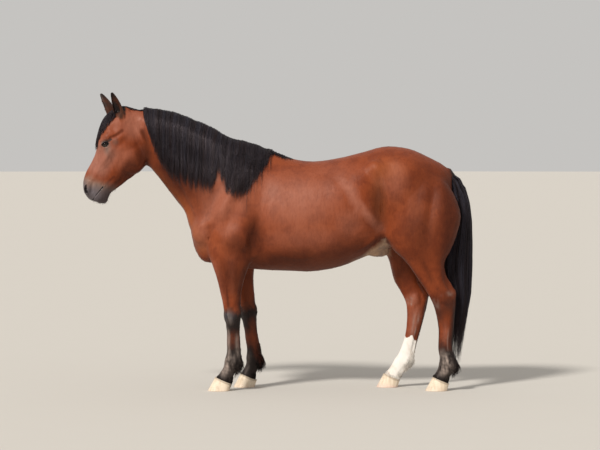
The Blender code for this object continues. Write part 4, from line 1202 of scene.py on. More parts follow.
def coatMaterial(name, strands=False):
    material, board, fill = newMaterial(name)
    look = coatLook
    place = board.add('ShaderNodeTexCoord', out='Object')
    broad = board.noise(place, 3.2, 3.0, 0.55)
    patch = board.noise(place, 11.0, 3.0, 0.6, 0.3)
    fleck = board.noise(board.stretched(place, (1.0, 1.0, 0.28), (0.0, 0.5, 0.0)), 95.0, 3.0, 0.6)
    streak = board.noise(board.stretched(place, (1.0, 1.0, 0.22), (0.0, 0.45, 0.0)), 34.0, 3.0, 0.65)
    colour = board.mix(broad.step(0.4, 0.68) * 0.45, look['base'], look['light'])
    colour = board.mix((1 - patch).step(0.44, 0.66) * 0.45, colour, look['dark'])
    colour = board.mix(board.share('warm') * (0.7 + 0.5 * (patch - 0.5)), colour, look['warm'])
    # a rosy painted highlight, broken up by patches and streaks
    colour = board.mix((board.share('paintedHighlight') * (0.4 + 0.55 * patch + 0.55 * streak)).least(1.0), colour,
                       look['paintedHighlight'])
    # painted shade darkens the coat where the deep share is high
    colour = board.mix(board.share('deep') * (0.92 - 0.25 * streak), colour, look['deep'])
    colour = board.mix(board.share('salmon') * (0.35 + 0.9 * patch), colour, look['salmon'])
    colour = board.mix(board.share('eyeRing') * (0.3 + 0.9 * streak), colour, look['eyeRing'])
    colour = board.mix(board.share('earIn') * (0.92 + 0.3 * (patch - 0.5)), colour, look['earIn'])
    muzzle = board.share('muzzle')
    colour = board.mix((muzzle + (patch - 0.5) * 0.3).step(0.02, 0.6) * 0.85, colour, look['taupe'])
    colour = board.mix((muzzle + (patch - 0.5) * 0.25).step(0.3, 0.95), colour, look['muzzle'])
    colour = board.mix(board.share('chin') * 0.85, colour, look['chin'])
    colour = board.mix(board.share('sheath'), colour,
                       board.mix(patch.step(0.4, 0.65) * 0.6, look['sheath'], look['muzzle']))
    edge = board.noise(place, 70.0, 2.0, 0.6) - 0.5
    dark = board.share('black') + edge * 0.26 * board.share('black').step(0.02, 0.2)
    colour = board.mix(dark.step(0.04, 0.96), colour, look['black'])
    # a bluish painted sheen on the knee
    colour = board.mix(board.share('slateSheen') * patch.step(0.3, 0.6) * 0.85, colour, look['slateSheen'])
    # pale grey hair, and painted highlight streaks on the legs
    colour = board.mix(board.share('greyHairAndSheen') * streak.step(0.3, 0.62) * 0.8, colour, look['greyHairAndSheen'])
    white = (board.share('white') + edge * 0.6 * board.share('white').step(0.02, 0.3)).step(0.25, 0.7)
    colour = board.mix(white, colour, board.mix(patch.step(0.48, 0.74) * 0.55, look['white'], look['cream']))
    bare = board.share('bare')
    colour = board.mix(bare, colour, look['bare'])
    colour = board.mix(fleck.step(0.35, 0.75) * 0.2, colour, (0.0, 0.0, 0.0, 1), 'SOFT_LIGHT')
    if strands:
        colour = board.mix(board.share('strandTone') * 0.1, colour, (0.0, 0.0, 0.0, 1))
    rough = look['roughness'] + 0.14 * (broad - 0.5) + 0.1 * (fleck - 0.5)
    rough = rough + 0.1 * board.share('deep') - 0.2 * bare
    hair = board.noise(board.stretched(place, (70.0, 260.0, 150.0), (0.0, 0.35, 0.0)), 3.0, 2.0, 0.6)
    ripple = board.noise(board.stretched(place, (1.0, 1.0, 0.5), (0.0, 0.3, 0.0)), 26.0, 3.0, 0.55)
    height = hair * 0.0004 * (1 - bare) + ripple * 0.0022 + streak * 0.0008 + patch * 0.0035
    fill(**{'Base Color': colour, 'Roughness': rough, 'Normal': board.bump(height, 0.65),
            'Coat Weight': 0.22 * bare,
            'Coat Roughness': 0.25, 'Specular IOR Level': 0.27, 'Specular Tint': (1.0, 0.84, 0.76, 1),
            'Sheen Weight': 0.03, 'Sheen Roughness': 0.4, 'Sheen Tint': (0.95, 0.72, 0.66, 1), 'IOR': 1.45})
    return material


hairLook = {'black': (0.0125, 0.0098, 0.012, 1), 'blue': (0.04, 0.04, 0.056, 1),
            'brown': (0.034, 0.018, 0.016, 1)}


def hairMaterial(name, shine):
    material, board, fill = newMaterial(name)
    tone, along = board.share('strandTone'), board.share('along')
    lock = board.share('lockTone')
    # a bluish painted sheen on some locks and single strands, strongest towards the front of the mane
    colour = board.mix(lock.step(0.3, 1.0) * 0.7, hairLook['black'], hairLook['blue'])
    colour = board.mix(tone.step(0.65, 1.0) * 0.5, colour, hairLook['blue'])
    colour = board.mix((tone.step(0.3, 0.0) * 0.7 + along.step(0.78, 1.0) * 0.45).least(1.0), colour,
                       hairLook['brown'])
    place = board.add('ShaderNodeTexCoord', out='Object')
    fine = board.noise(place, 420.0, 2.0, 0.5)
    normal = board.bump(fine, 0.25, 0.0006)
    fill(**{'Base Color': colour, 'Roughness': 0.36 + 0.16 * tone, 'Normal': normal,
            'Specular IOR Level': shine, 'Specular Tint': (1.0, 0.84, 0.9, 1), 'IOR': 1.5})
    return material


hornLook = {
    'pale': (0.8, 0.68, 0.53, 1), 'streak': (0.62, 0.49, 0.35, 1), 'ring': (0.44, 0.34, 0.24, 1),
    'grime': (0.38, 0.29, 0.21, 1), 'top': (0.2, 0.15, 0.11, 1), 'pink': (0.72, 0.46, 0.42, 1)}


def hornMaterial(name, dusky):
    material, board, fill = newMaterial(name)
    look = hornLook
    rise = board.share('rise')
    place = board.add('ShaderNodeTexCoord', out='Object')
    streak = board.noise(board.stretched(place, (3.0, 3.0, 0.6)), 22.0, 2.0, 0.5)
    grime = board.noise(place, 17.0, 3.0, 0.55)
    ring = board.add('ShaderNodeMath', {'operation': 'SINE'}, {0: rise * 44 + streak * 2.0}) * 0.5 + 0.5
    colour = board.mix(streak.step(0.35, 0.7) * 0.8, look['pale'], look['streak'])
    colour = board.mix(ring * 0.08, colour, look['ring'])
    colour = board.mix(dusky * grime.step(0.5, 0.75) * 0.5, colour, look['grime'])
    colour = board.mix(rise.step(0.84, 1.0) * 0.5, colour, look['top'])
    colour = board.mix((1 - dusky) * rise.step(0.45, 0.05) * 0.45, colour, look['pink'])
    fill(**{'Base Color': colour, 'Roughness': 0.52 + 0.2 * grime, 'Specular IOR Level': 0.4, 'IOR': 1.5,
            'Normal': board.bump(ring * 0.00022 + streak * 0.0005, 0.7)})
    return material


eyeLook = {
    'iris': (0.024, 0.009, 0.004, 1), 'rays': (0.008, 0.003, 0.002, 1), 'edge': (0.01, 0.006, 0.005, 1),
    'white': (0.055, 0.036, 0.03, 1), 'pupil': (0.0015, 0.0018, 0.003, 1), 'below': (0.072, 0.068, 0.052, 1)}


def eyeMaterial(name):
    material, board, fill = newMaterial(name)
    look = eyeLook
    gaze = board.add('ShaderNodeAttribute', {'attribute_name': 'gaze'}, out='Vector')
    parts = board.node('ShaderNodeSeparateXYZ', {}, {0: gaze})
    x, y = Wire(board, parts.outputs[0]), Wire(board, parts.outputs[1])
    flat = (x * x + y * y) ** 0.5
    pupil = (x / 0.36) ** 2.0 + (y / 0.17) ** 2.0
    rays = board.noise(board.stretched(gaze, (6.0, 6.0, 1.0)), 4.0, 3.0, 0.6)
    colour = board.mix(rays.step(0.35, 0.7), look['iris'], look['rays'])
    colour = board.mix(flat.step(0.5, 0.62), colour, look['edge'])
    colour = board.mix(flat.step(0.82, 0.96), colour, look['white'])
    colour = board.mix(pupil.step(1.25, 0.85), colour, look['pupil'])
    # a pale painted reflection of the floor over the lower part of the eye
    colour = board.mix((0 - y).step(0.24, 0.44) * flat.step(0.8, 0.5) * 0.8, colour, look['below'])
    fill(**{'Base Color': colour, 'Roughness': 0.1 + 0.05 * rays, 'Coat Weight': 0.6, 'Coat Roughness': 0.02,
            'Specular IOR Level': 0.06, 'IOR': 1.4})
    return material


def growthTree():  # strands round each guide, each a closed three-sided blade
    tree = bpy.data.node_groups.new('strandsAlongGuides', 'GeometryNodeTree')
    face = tree.interface
    for way in ('INPUT', 'OUTPUT'):
        face.new_socket('Geometry', in_out=way, socket_type='NodeSocketGeometry')
    for name, kind in (('Strands', 'Int'), ('Width', 'Float'), ('Depth', 'Float'), ('Gather', 'Float'),
                       ('Thickness', 'Float'), ('Tip', 'Float'), ('Wave', 'Float'), ('Wave Scale', 'Float'),
                       ('Shortest', 'Float'), ('Seed', 'Int'), ('Finish', 'Material')):
        face.new_socket(name, in_out='INPUT', socket_type='NodeSocket' + kind)
    board = Board(tree)
    given = {s.name: Wire(board, s) for s in board.node('NodeGroupInput').outputs if s.name}

    def chance(low, high, extra):  # one value for each strand
        value = board.add('FunctionNodeRandomValue', {'data_type': 'FLOAT'},
                          {'Min_001': low, 'Max_001': high, 'Seed': given['Seed'] + extra})
        return board.add('GeometryNodeFieldOnDomain', {'data_type': 'FLOAT', 'domain': 'CURVE'},
                         {'Value': value})

    def named(name):
        return board.add('GeometryNodeInputNamedAttribute', {'data_type': 'FLOAT_VECTOR'}, {'Name': name},
                         'Attribute')

    def scaled(vector, factor):
        return board.vector('SCALE', {0: vector, 'Scale': factor})

    def summed(a, b):
        return board.vector('ADD', {0: a, 1: b})

    def triple(x, y, z):
        return board.add('ShaderNodeCombineXYZ', {}, {0: x, 1: y, 2: z})

    def store(geometry, name, value, kind='FLOAT', domain='POINT'):
        return board.add('GeometryNodeStoreNamedAttribute', {'data_type': kind, 'domain': domain},
                         {'Geometry': geometry, 'Name': name, 'Value': value})

    curves = board.add('GeometryNodeMeshToCurve', {}, {'Mesh': given['Geometry']})
    copied = board.add('GeometryNodeDuplicateElements', {'domain': 'SPLINE'},
                       {'Geometry': curves, 'Amount': given['Strands']}, 'Geometry')
    t = board.add('GeometryNodeSplineParameter', out='Factor')
    spread = (0.55 + 0.45 * t.step(0.0, 0.3)) * (1 - (1 - given['Gather']) * t.step(0.35, 1.0))
    a, b = chance(-1.0, 1.0, 1), chance(-1.0, 1.0, 2)
    offset = summed(scaled(named('wide'), a * given['Width'] * spread),
                    scaled(named('deep'), b * given['Depth'] * spread))
    spot = board.add('GeometryNodeInputPosition')
    shifted = summed(scaled(spot, given['Wave Scale']), triple(a * 3, b * 3, a * 2))
    wave = board.add('ShaderNodeTexNoise', {}, {'Vector': shifted, 'Scale': 1.0, 'Detail': 1.0}, 'Color')
    centred = board.vector('SUBTRACT', {0: wave, 1: (0.5, 0.5, 0.5)})
    swayed = summed(offset, scaled(centred, given['Wave'] * t.step(0.05, 0.9)))
    moved = board.add('GeometryNodeSetPosition', {}, {'Geometry': copied, 'Offset': swayed})
    kept = board.add('GeometryNodeTrimCurve', {'mode': 'FACTOR'},
                     {'Curve': moved, 'Start': 0.0, 'End': chance(given['Shortest'], 1.0, 3)})
    kept = store(store(kept, 'strandTone', chance(0.0, 1.0, 4)), 'along', t)
    patch = triple(a * 0.0013, (t - 0.5) * 0.0026, 0.0)
    kept = store(kept, 'bakeSpot', summed(named('rootSpot'), patch), 'FLOAT_VECTOR')
    profile = board.add('GeometryNodeCurvePrimitiveCircle', {'mode': 'RADIUS'},
                        {'Resolution': 3, 'Radius': 1.0}, 'Curve')
    radius = given['Thickness'] * (1 - (1 - given['Tip']) * t ** 1.6) * chance(0.75, 1.25, 5)
    radius = radius * (0.55 + 0.45 * t.step(0.0, 0.08))
    kept = board.add('GeometryNodeSetCurveRadius', {}, {'Curve': kept, 'Radius': 1.0})
    blades = board.add('GeometryNodeCurveToMesh', {},
                       {'Curve': kept, 'Profile Curve': profile, 'Scale': radius, 'Fill Caps': True})
    onCorner = store(blades, 'OFBake', named('bakeSpot'), 'FLOAT2', 'CORNER')
    smooth = board.add('GeometryNodeSetShadeSmooth', {}, {'Geometry': onCorner})
    real = board.add('GeometryNodeRealizeInstances', {}, {'Geometry': smooth})
    done = board.add('GeometryNodeSetMaterial', {}, {'Geometry': real, 'Material': given['Finish']})
    board.node('NodeGroupOutput', {}, {0: done})
    return tree


def unwrapPlaces(points):  # where each place lies when the skin is laid out flat
    x, y, z = (np.asarray(points) - drawnShift).T
    middle = np.interp(x, [-1.2, -1.0, -0.8, -0.6, -0.3, 0.0, 1.1], [1.25, 1.42, 1.5, 1.4, 1.2, 1.1, 1.15])
    u = 0.02 + 0.58 * (x + 1.25) / 2.45
    v = 0.02 + 0.94 * (np.arctan2(y, z - middle) / (2 * math.pi) + 0.5)
    found = limbPlaces(np.stack([x, y, z], axis=1))
    nearest = np.full(len(x), 0.11)
    for i, ((kind, word), (away, _)) in enumerate(found.items()):
        axis = limbPath(kind, word)[::-1]
        centreX, centreY = (np.interp(z, axis[:, 2], axis[:, k]) for k in (0, 1))
        turn = np.arctan2(y - centreY, x - centreX) / (2 * math.pi) + 0.5
        here = (z < 0.78) & (away < nearest)
        nearest = np.where(here, away, nearest)
        u = np.where(here, 0.63 + 0.09 * i + 0.08 * turn, u)
        v = np.where(here, 0.02 + 0.94 * z / 0.8, v)
    return np.stack([u, v, np.zeros(len(u))], axis=1)


def growStrands(name, paths, wide, deep, tones, finish, settings, seed, extra=None):
    paths = np.asarray(paths, float)
    count, steps = paths.shape[:2]
    mesh = bpy.data.meshes.new(name)
    index = np.arange(count * steps).reshape(count, steps)
    edges = np.stack([index[:, :-1].ravel(), index[:, 1:].ravel()], axis=1)
    mesh.from_pydata(paths.reshape(-1, 3).tolist(), edges.tolist(), [])
    addAttribute(mesh, 'wide', np.asarray(wide).reshape(-1, 3), 'FLOAT_VECTOR')
    addAttribute(mesh, 'deep', np.asarray(deep).reshape(-1, 3), 'FLOAT_VECTOR')
    addAttribute(mesh, 'rootSpot', np.repeat(unwrapPlaces(paths[:, 0]), steps, axis=0), 'FLOAT_VECTOR')
    addAttribute(mesh, 'lockTone', np.repeat(tones, steps))
    for key, values in (extra or {}).items():
        addAttribute(mesh, key, np.repeat(values, steps))
    piece = addObject(name, mesh)
    grow = piece.modifiers.new('grow', 'NODES')
    grow.node_group = strandTree
    sockets = {item.name: item.identifier for item in strandTree.interface.items_tree
               if item.in_out == 'INPUT'}
    for key, value in {**settings, 'Seed': seed, 'Finish': finish}.items():
        grow[sockets[key]] = value
    bake(piece)
    for spare in ('wide', 'deep', 'rootSpot', 'bakeSpot'):
        if spare in piece.data.attributes:
            piece.data.attributes.remove(piece.data.attributes[spare])
    piece.data.calc_loop_triangles()
    print(name + ':', len(piece.data.loop_triangles), 'triangles')
    return piece


def onSkin(tree, point):
    spot, normal = tree.find_nearest(Vector(point))[:2]
    return np.array(spot), np.array(normal)


# down over the skin from start to goal; over(normal, t) is added to the fall
def drape(tree, start, goal, steps, over, spare=1.08):
    spot, normal = onSkin(tree, start)
    goal = np.array(goal)
    length = np.linalg.norm(goal - spot) * spare
    spots, normals = [spot], [normal]
    for i in range(steps - 1):
        left = goal - spot
        way = left / max(np.linalg.norm(left), 1e-6) + over(normal, i / steps)
        way = way - normal * np.dot(way, normal)
        way /= max(np.linalg.norm(way), 1e-6)
        spot, normal = onSkin(tree, spot + way * length / (steps - 1))
        spots.append(spot)
        normals.append(normal)
    return np.array(spots), np.array(normals)


def frames(paths, normals):  # across the hair along the skin, and away from the skin
    paths, normals = np.array(paths), np.array(normals)
    along = np.gradient(paths, axis=1)
    along /= np.linalg.norm(along, axis=2)[:, :, None] + 1e-9
    wide = np.cross(along, normals)
    wide /= np.linalg.norm(wide, axis=2)[:, :, None] + 1e-9
    return wide, np.cross(wide, along)


def growHair(name, grown, finish, settings, seed):  # grown holds each guide's path, normals and tone
    paths, normals, tones = zip(*grown)
    return growStrands(name, paths, *frames(paths, normals), tones, finish, settings, seed)


mane = {
    # lower edge from the poll to the withers, in the side view
    'edge': [(-0.812, 1.66), (-0.775, 1.564), (-0.74, 1.452), (-0.699, 1.338), (-0.643, 1.262),
             (-0.524, 1.217), (-0.469, 1.188), (-0.392, 1.181), (-0.358, 1.258), (-0.33, 1.25),
             (-0.285, 1.136), (-0.225, 1.106), (-0.185, 1.135), (-0.15, 1.196), (-0.11, 1.258),
             (-0.075, 1.325), (-0.052, 1.395), (-0.03, 1.435), (-0.01, 1.45)],
    'tips': [-0.775, -0.735, -0.695, -0.65, -0.605, -0.56, -0.52, -0.482, -0.448, -0.412, -0.388,
             -0.318, -0.285, -0.255, -0.215, -0.18, -0.14, -0.1],
    'crest': [(-0.88, 1.697), (-0.81, 1.69), (-0.73, 1.684), (-0.635, 1.664), (-0.53, 1.628), (-0.42, 1.58),
              (-0.31, 1.521), (-0.2, 1.491), (-0.1, 1.466), (0.02, 1.41)],
    'locks': 150, 'steps': 18,
    # lowest and highest lift off the skin, roots across the crest
    'layers': [(0.002, 0.008, -0.014, 0.006), (0.008, 0.014, -0.002, 0.014), (0.016, 0.0225, 0.012, 0.024)],
    'strands': {'Strands': 10, 'Width': 0.008, 'Depth': 0.003, 'Gather': 0.5, 'Thickness': 0.00105,
                'Tip': 0.22, 'Wave': 0.009, 'Wave Scale': 14.0, 'Shortest': 0.72},
    'wisps': 64, 'withers': 110}


def along(x, line):  # the height of a line of points at x
    return np.interp(x, *zip(*line))


def maneLock(tree, x, rootY, endX, endZ, lift):  # over the crest and down the left side of the neck
    steps = mane['steps']
    spot, normal = onSkin(tree, np.array((x, rootY, along(x, mane['crest']) + 0.006)) + drawnShift)
    spots, norms, gone = [spot], [normal], [0.0]
    goalX = endX + drawnShift[0]
    length = (spot[2] - endZ) * 1.04 + 0.03 + max(rootY, 0)
    share = (np.arange(steps) / (steps - 1)) ** 1.5
    for step in np.diff(share) * length:
        fall = max(spot[2] - endZ, 0.02)
        way = np.array(((goalX - spot[0]) / fall, -1.6 if normal[2] > 0.45 else -0.05, -1.0))
        way = way - normal * np.dot(way, normal)
        way /= np.linalg.norm(way)
        spot, normal = onSkin(tree, spot + way * step)
        spots.append(spot)
        norms.append(normal)
        gone.append(gone[-1] + step)
    spots, norms, gone = np.array(spots), np.array(norms), np.array(gone)
    t = gone / gone[-1]
    off = lift * smoothStep(-0.002, 0.016, gone) * (1 - 0.3 * t) - 0.002 * (t == 0)
    raised = spots + norms * off[:, None]
    raised[:, 0] += 0.005 * np.sin(t * rng.uniform(2, 6) + rng.uniform(0, 6)) * t
    for k in range(2, len(raised)):  # hair hangs, so it doesn't follow the neck inwards
        raised[k, 1] = min(raised[k, 1], raised[k - 1, 1] + 0.35 * (gone[k] - gone[k - 1]))
    return raised, norms


def maneGuide(tree, layer, i):
    low, high, rootLow, rootHigh = mane['layers'][layer]
    wisp = i >= mane['locks']
    x = -0.808 + 0.776 * (rng.uniform(0.55, 1) ** 0.7 if wisp else (i + rng.uniform(0, 1)) / mane['locks'])
    lean = -0.05 * smoothStep(-0.36, -0.06, x) + 0.02 * smoothStep(-0.5, -0.8, x)
    endX = x + lean + rng.normal(0, 0.012)
    if wisp:
        endX = x + rng.normal(-0.005, 0.01)
    if -0.372 < endX < -0.338:  # the two clumps part here
        endX += -0.018 if endX < -0.356 + 0.02 * rng.normal() else 0.024
    if not wisp:
        endX += (min(mane['tips'], key=lambda tip: abs(tip - endX)) - endX) * rng.uniform(0.0, 0.55)
    endZ = along(endX, mane['edge']) + abs(rng.normal(0, 0.022)) - 0.012
    endZ += 0.01 * (2 - layer) * rng.uniform(0, 1)
    if wisp:
        endZ -= rng.uniform(0.01, 0.17) * smoothStep(-0.3, -0.06, x) + 0.012
    endZ = min(endZ, along(x, mane['crest']) - 0.03)
    sway = 0.5 + 0.3 * math.sin(x * 31 + layer) + 0.2 * math.sin(x * 73 + 2 * layer)
    lift = low + (high - low) * np.clip(sway + rng.normal(0, 0.12), 0, 1)
    lift = lift * (0.55 + 0.45 * smoothStep(-0.02, -0.17, x))
    rootY = rng.uniform(rootLow, rootHigh)
    if i >= mane['locks'] + mane['wisps']:  # short hair, thinning out over the withers
        x = -0.065 + 0.15 * rng.uniform(0, 1) ** 1.3
        endX = x + rng.uniform(0.005, 0.03)
        endZ = along(x, mane['crest']) - rng.uniform(0.02, 0.04)
        lift = 0.01 * smoothStep(0.07, -0.06, x) * rng.uniform(0.5, 1.0) + 0.0006
        rootY = rng.normal(0, 0.005)
    raised, norms = maneLock(tree, x, rootY, endX, endZ, lift)
    # locks towards the front of the mane get more of the bluish painted sheen
    tone = (0.5 + 0.5 * math.sin(x * 95 + layer * 2.1)) * rng.uniform(0.6, 1.0) * smoothStep(-0.1, -0.45, x)
    return raised, norms, tone


def buildMane(tree):
    pieces, full = [], mane['locks']
    last = len(mane['layers']) - 1
    for layer in range(last + 1):
        wisps = mane['wisps'] + mane['withers'] if layer == last else 0
        grown = [maneGuide(tree, layer, i) for i in range(full + wisps)]
        pieces.append(growHair('mane_%d' % (layer + 1), grown[:full], hairFinish, mane['strands'],
                               20 + layer))
    thin = {**mane['strands'], 'Strands': 4, 'Width': 0.004, 'Thickness': 0.0008}
    return pieces + [growHair('mane_wisps', grown[full:], hairFinish, thin, 27)]


pollHair = {
    'top': [(-0.945, 1.72), (-0.933, 1.721), (-0.894, 1.713), (-0.86, 1.703), (-0.834, 1.697),
            (-0.803, 1.702)],
    'locks': 210,
    'strands': {'Strands': 5, 'Width': 0.004, 'Depth': 0.0015, 'Gather': 0.6, 'Thickness': 0.0007,
                'Tip': 0.3, 'Wave': 0.003, 'Wave Scale': 40.0, 'Shortest': 0.6}}


def buildPollHair(tree):  # the stubble of the bridle path
    grown = []
    share = np.linspace(0, 1, 6)
    for _ in range(pollHair['locks']):
        x = rng.uniform(-0.948, -0.815)
        y = rng.normal(0, 0.006)
        ahead = x + rng.uniform(0.02, 0.034) * share
        top = along(ahead, pollHair['top']) - abs(rng.normal(0, 0.0025)) - 30 * y * y
        path = headTurn(np.stack([ahead, np.full(6, y), top], axis=1)) + drawnShift
        spot, normal = onSkin(tree, path[0])
        path[0] = spot - normal * 0.002
        path[1] = path[0] * 0.45 + path[1] * 0.55
        for k in range(1, 6):
            spot, normal = onSkin(tree, path[k])
            path[k] += normal * max(0.0022 - float(np.dot(path[k] - spot, normal)), 0)
        grown.append((path, np.tile((0.0, 0.0, 1.0), (6, 1)), rng.uniform(0, 0.6)))
    return growHair('poll_hair', grown, hairFinish, pollHair['strands'], 31)


forelock = {
    'locks': 210, 'steps': 14,
    # lower edge in the front view, as y and z
    'edge': [(-0.09, 1.64), (-0.083, 1.605), (-0.075, 1.565), (-0.065, 1.525), (-0.053, 1.492),
             (-0.04, 1.472),
             (-0.03, 1.464), (-0.02, 1.49), (-0.008, 1.468), (0.01, 1.505), (0.028, 1.545), (0.04, 1.61)],
    'strands': {'Strands': 12, 'Width': 0.0062, 'Depth': 0.0026, 'Gather': 0.35, 'Thickness': 0.0009,
                'Tip': 0.22, 'Wave': 0.003, 'Wave Scale': 16.0, 'Shortest': 0.78}}


def buildForelock(tree):
    grown = []
    t = np.linspace(0, 1, forelock['steps'])
    for _ in range(forelock['locks']):
        s = rng.uniform(0, 1)
        endY = -0.088 + 0.126 * s ** 1.1
        endZ = along(endY, forelock['edge']) + abs(rng.normal(0, 0.02)) - 0.006
        endX = np.interp(endZ, [1.46, 1.5, 1.585, 1.65], [-1.104, -1.094, -1.07, -1.035])
        endX += 0.8 * max(-0.05 - endY, 0)
        root = (rng.uniform(-0.968, -0.925), np.clip(endY * 0.15 + rng.normal(0, 0.004), -0.011, 0.009),
                1.716)
        start, goal = headTurn(np.array([root, (endX, endY, endZ)])) + drawnShift
        spots, norms = drape(tree, start, goal, forelock['steps'],
                             lambda normal, gone: np.array((-0.9, 0, 0.35)) * (1 - gone) ** 2)
        lift = rng.uniform(0.003, 0.02) * (0.6 if endY < -0.06 else 1.0)
        off = lift * smoothStep(0, 0.2, t) * (1 - 0.45 * t) - 0.002 * (t == 0)
        raised = spots + norms * off[:, None]
        raised[:, 1] += 0.003 * np.sin(t * rng.uniform(2, 5) + rng.uniform(0, 6)) * t
        grown.append((raised, norms, rng.uniform(0, 0.5)))
    return growHair('forelock_1', grown, tailFinish, forelock['strands'], 41)


tail = {
    # height, front x, back x, half width
    'rows': [(1.352, 0.985, 1.062, 0.028), (1.3, 1.01, 1.107, 0.04), (1.223, 1.04, 1.142, 0.052),
             (1.126, 1.058, 1.17, 0.061), (1.022, 1.058, 1.182, 0.067), (0.895, 1.022, 1.185, 0.072),
             (0.786, 0.99, 1.187, 0.073), (0.7, 0.992, 1.187, 0.073), (0.583, 1.03, 1.184, 0.07),
             (0.478, 1.058, 1.163, 0.064), (0.367, 1.063, 1.143, 0.054), (0.24, 1.072, 1.128, 0.038),
             (0.13, 1.086, 1.114, 0.02)],
    'locks': 136, 'steps': 18, 'pieces': 2,
    'strands': {'Strands': 12, 'Width': 0.0085, 'Depth': 0.0055, 'Gather': 0.55, 'Thickness': 0.00115,
                'Tip': 0.2, 'Wave': 0.013, 'Wave Scale': 8.0, 'Shortest': 0.76}}


def tailGuide(n, rows, dock):
    share = np.linspace(0, 1, tail['steps'])
    turn, reach = rng.uniform(0, 2 * math.pi), math.sqrt(rng.uniform(0.04, 0.93))
    if rng.uniform() < 0.45:
        reach = rng.uniform(0.84, 0.97)
    place = rng.uniform(0.0, 0.95) ** 1.3 if reach < 0.9 else rng.uniform(0.0, 0.55)
    x, z, r = [np.interp(place * 4, range(5), dock[:, k]) for k in range(3)]
    held = 0.35 + 0.45 * min(place * 5, 1)
    root = np.array((x + r * held * math.cos(turn), r * held * math.sin(turn), z - 0.012))
    if place < 0.45 and math.cos(turn) > 0:
        reach = rng.uniform(0.9, 1.0)
    endZ = rng.choice([rng.uniform(0.13, 0.3), rng.uniform(0.24, 0.46), rng.uniform(0.42, 0.85)],
                      p=[0.42, 0.36, 0.22])
    heights = root[2] + (endZ - root[2]) * share ** 1.05
    front, back, half = [np.interp(heights, rows[:, 0], rows[:, k]) for k in (1, 2, 3)]
    squeeze = reach * (1 - 0.25 * smoothStep(0.5, 1.0, share) * rng.uniform(0, 1))
    flow = np.stack([(front + back) / 2 + (back - front) / 2 * squeeze * math.cos(turn),
                     half * squeeze * math.sin(turn), heights], axis=1)
    settled = smoothStep(0.0, 0.05 + 0.1 * place, root[2] - heights)[:, None]
    path = root * (1 - settled) + flow * settled
    path[:, 2] = heights
    sway = smoothStep(0.62, 0.3, heights) * np.sin(heights * rng.uniform(7, 13) + rng.uniform(0, 6))
    path[:, 0] -= 0.006 * sway + 0.006 * abs(rng.normal()) * smoothStep(0.55, 0.2, heights)
    path[:, 1] += 0.007 * sway
    normals = np.tile((math.cos(turn), math.sin(turn), 0.0), (tail['steps'], 1))
    return path + drawnShift, normals, 0.5 + 0.5 * math.sin(turn * 9 + n) * rng.uniform(0.4, 1.0)


def buildTail():
    rows, dock = np.array(tail['rows'])[::-1], np.array(body['dock'])
    pieces = []
    for n in range(tail['pieces']):
        grown = [tailGuide(n, rows, dock) for _ in range(tail['locks'])]
        pieces.append(growHair('tail_%d' % (n + 1), grown, tailFinish, tail['strands'], 50 + n))
    return pieces


def lieOfCoat(points):  # the way that the hair lies, in the drawing's frame
    x, z = points[:, 0], points[:, 2]
    way = np.tile((0.8, 0.0, -0.6), (len(x), 1))
    neck, onHead = smoothStep(-0.25, -0.5, x), smoothStep(-0.78, -0.84, x) * (z > 1.1)
    leg = smoothStep(0.8, 0.66, z)
    for share, there in ((neck, (0.45, 0, -0.9)), (onHead, (-0.25, 0, -0.95)), (leg, (0.1, 0, -1.0))):
        way = way * (1 - share[:, None]) + np.array(there) * share[:, None]
    return way


shortCoat = {
    'tufts': 4400,
    # span along the leg from the fetlock, count, shortest, longest and backward lean
    'feathered': [(-0.3, 0.28, 130, 0.03, 0.052, 0.9), (0.55, 1.05, 90, 0.022, 0.036, 0.45),
                  (-0.75, -0.25, 45, 0.012, 0.024, 0.35)],
    # count, shortest, longest, lowest and highest lift, and the way that it lies
    'hoofTop': (190, 0.012, 0.02, 0.002, 0.0036, (-0.25, 0.0, -1.0)),
    'inEar': (170, 0.008, 0.014, 0.002, 0.005, (-0.5, 0.0, 0.9)),
    'chin': (60, 0.008, 0.016, 0.006, 0.012, (0.1, 0.0, -1.0)),
    'strands': {'Strands': 4, 'Width': 0.006, 'Depth': 0.0004, 'Gather': 1.0, 'Thickness': 0.0003,
                'Tip': 0.15, 'Wave': 0.0012, 'Wave Scale': 90.0, 'Shortest': 0.5},
    'fringes': {'Strands': 5, 'Width': 0.004, 'Depth': 0.001, 'Gather': 0.8, 'Thickness': 0.00038, 'Tip': 0.2,
                'Wave': 0.003, 'Wave Scale': 60.0, 'Shortest': 0.5},
    'feathers': {'Strands': 7, 'Width': 0.0065, 'Depth': 0.004, 'Gather': 0.45, 'Thickness': 0.00052,
                 'Tip': 0.2, 'Wave': 0.0075, 'Wave Scale': 40.0, 'Shortest': 0.5}}


def readShare(skin, key):
    values = np.empty(len(skin.data.vertices), np.float32)
    skin.data.attributes[key].data.foreach_get('value', values)
    return values


def tuftsFrom(name, skin, chosen, ways, long, lift, steps, settings, seed, sink=0.001, sag=0.0):
    points, normals = readPoints(skin)[chosen], readNormals(skin)[chosen]
    ways = ways - normals * np.sum(ways * normals, axis=1)[:, None] * 0.96
    ways /= np.linalg.norm(ways, axis=1)[:, None] + 1e-9
    t = np.linspace(0, 1, steps)[None, :, None]
    long, lift = np.asarray(long)[:, None, None], np.asarray(lift)[:, None, None]
    paths = points[:, None] - normals[:, None] * sink + ways[:, None] * long * t \
        + normals[:, None] * lift * (1 - (1 - t) ** 2) - np.array((0, 0, 1.0)) * sag * long * t * t
    wide, deep = frames(paths, np.repeat(normals[:, None], steps, axis=1))
    extra = {key: readShare(skin, key)[chosen] for key in markingNames}
    return growStrands(name, paths, wide, deep, rng.uniform(0, 1, len(chosen)), tuftFinish, settings, seed,
                       extra)


def pointAreas(skin, points):  # a third of the faces round each point
    area = np.zeros(len(points))
    faces = np.array([face.vertices for face in skin.data.polygons])
    a, b, c = points[faces[:, 0]], points[faces[:, 1]], points[faces[:, 2]]
    sizes = np.linalg.norm(np.cross(b - a, c - a), axis=1) / 6
    for k in range(3):
        np.add.at(area, faces[:, k], sizes)
    return area


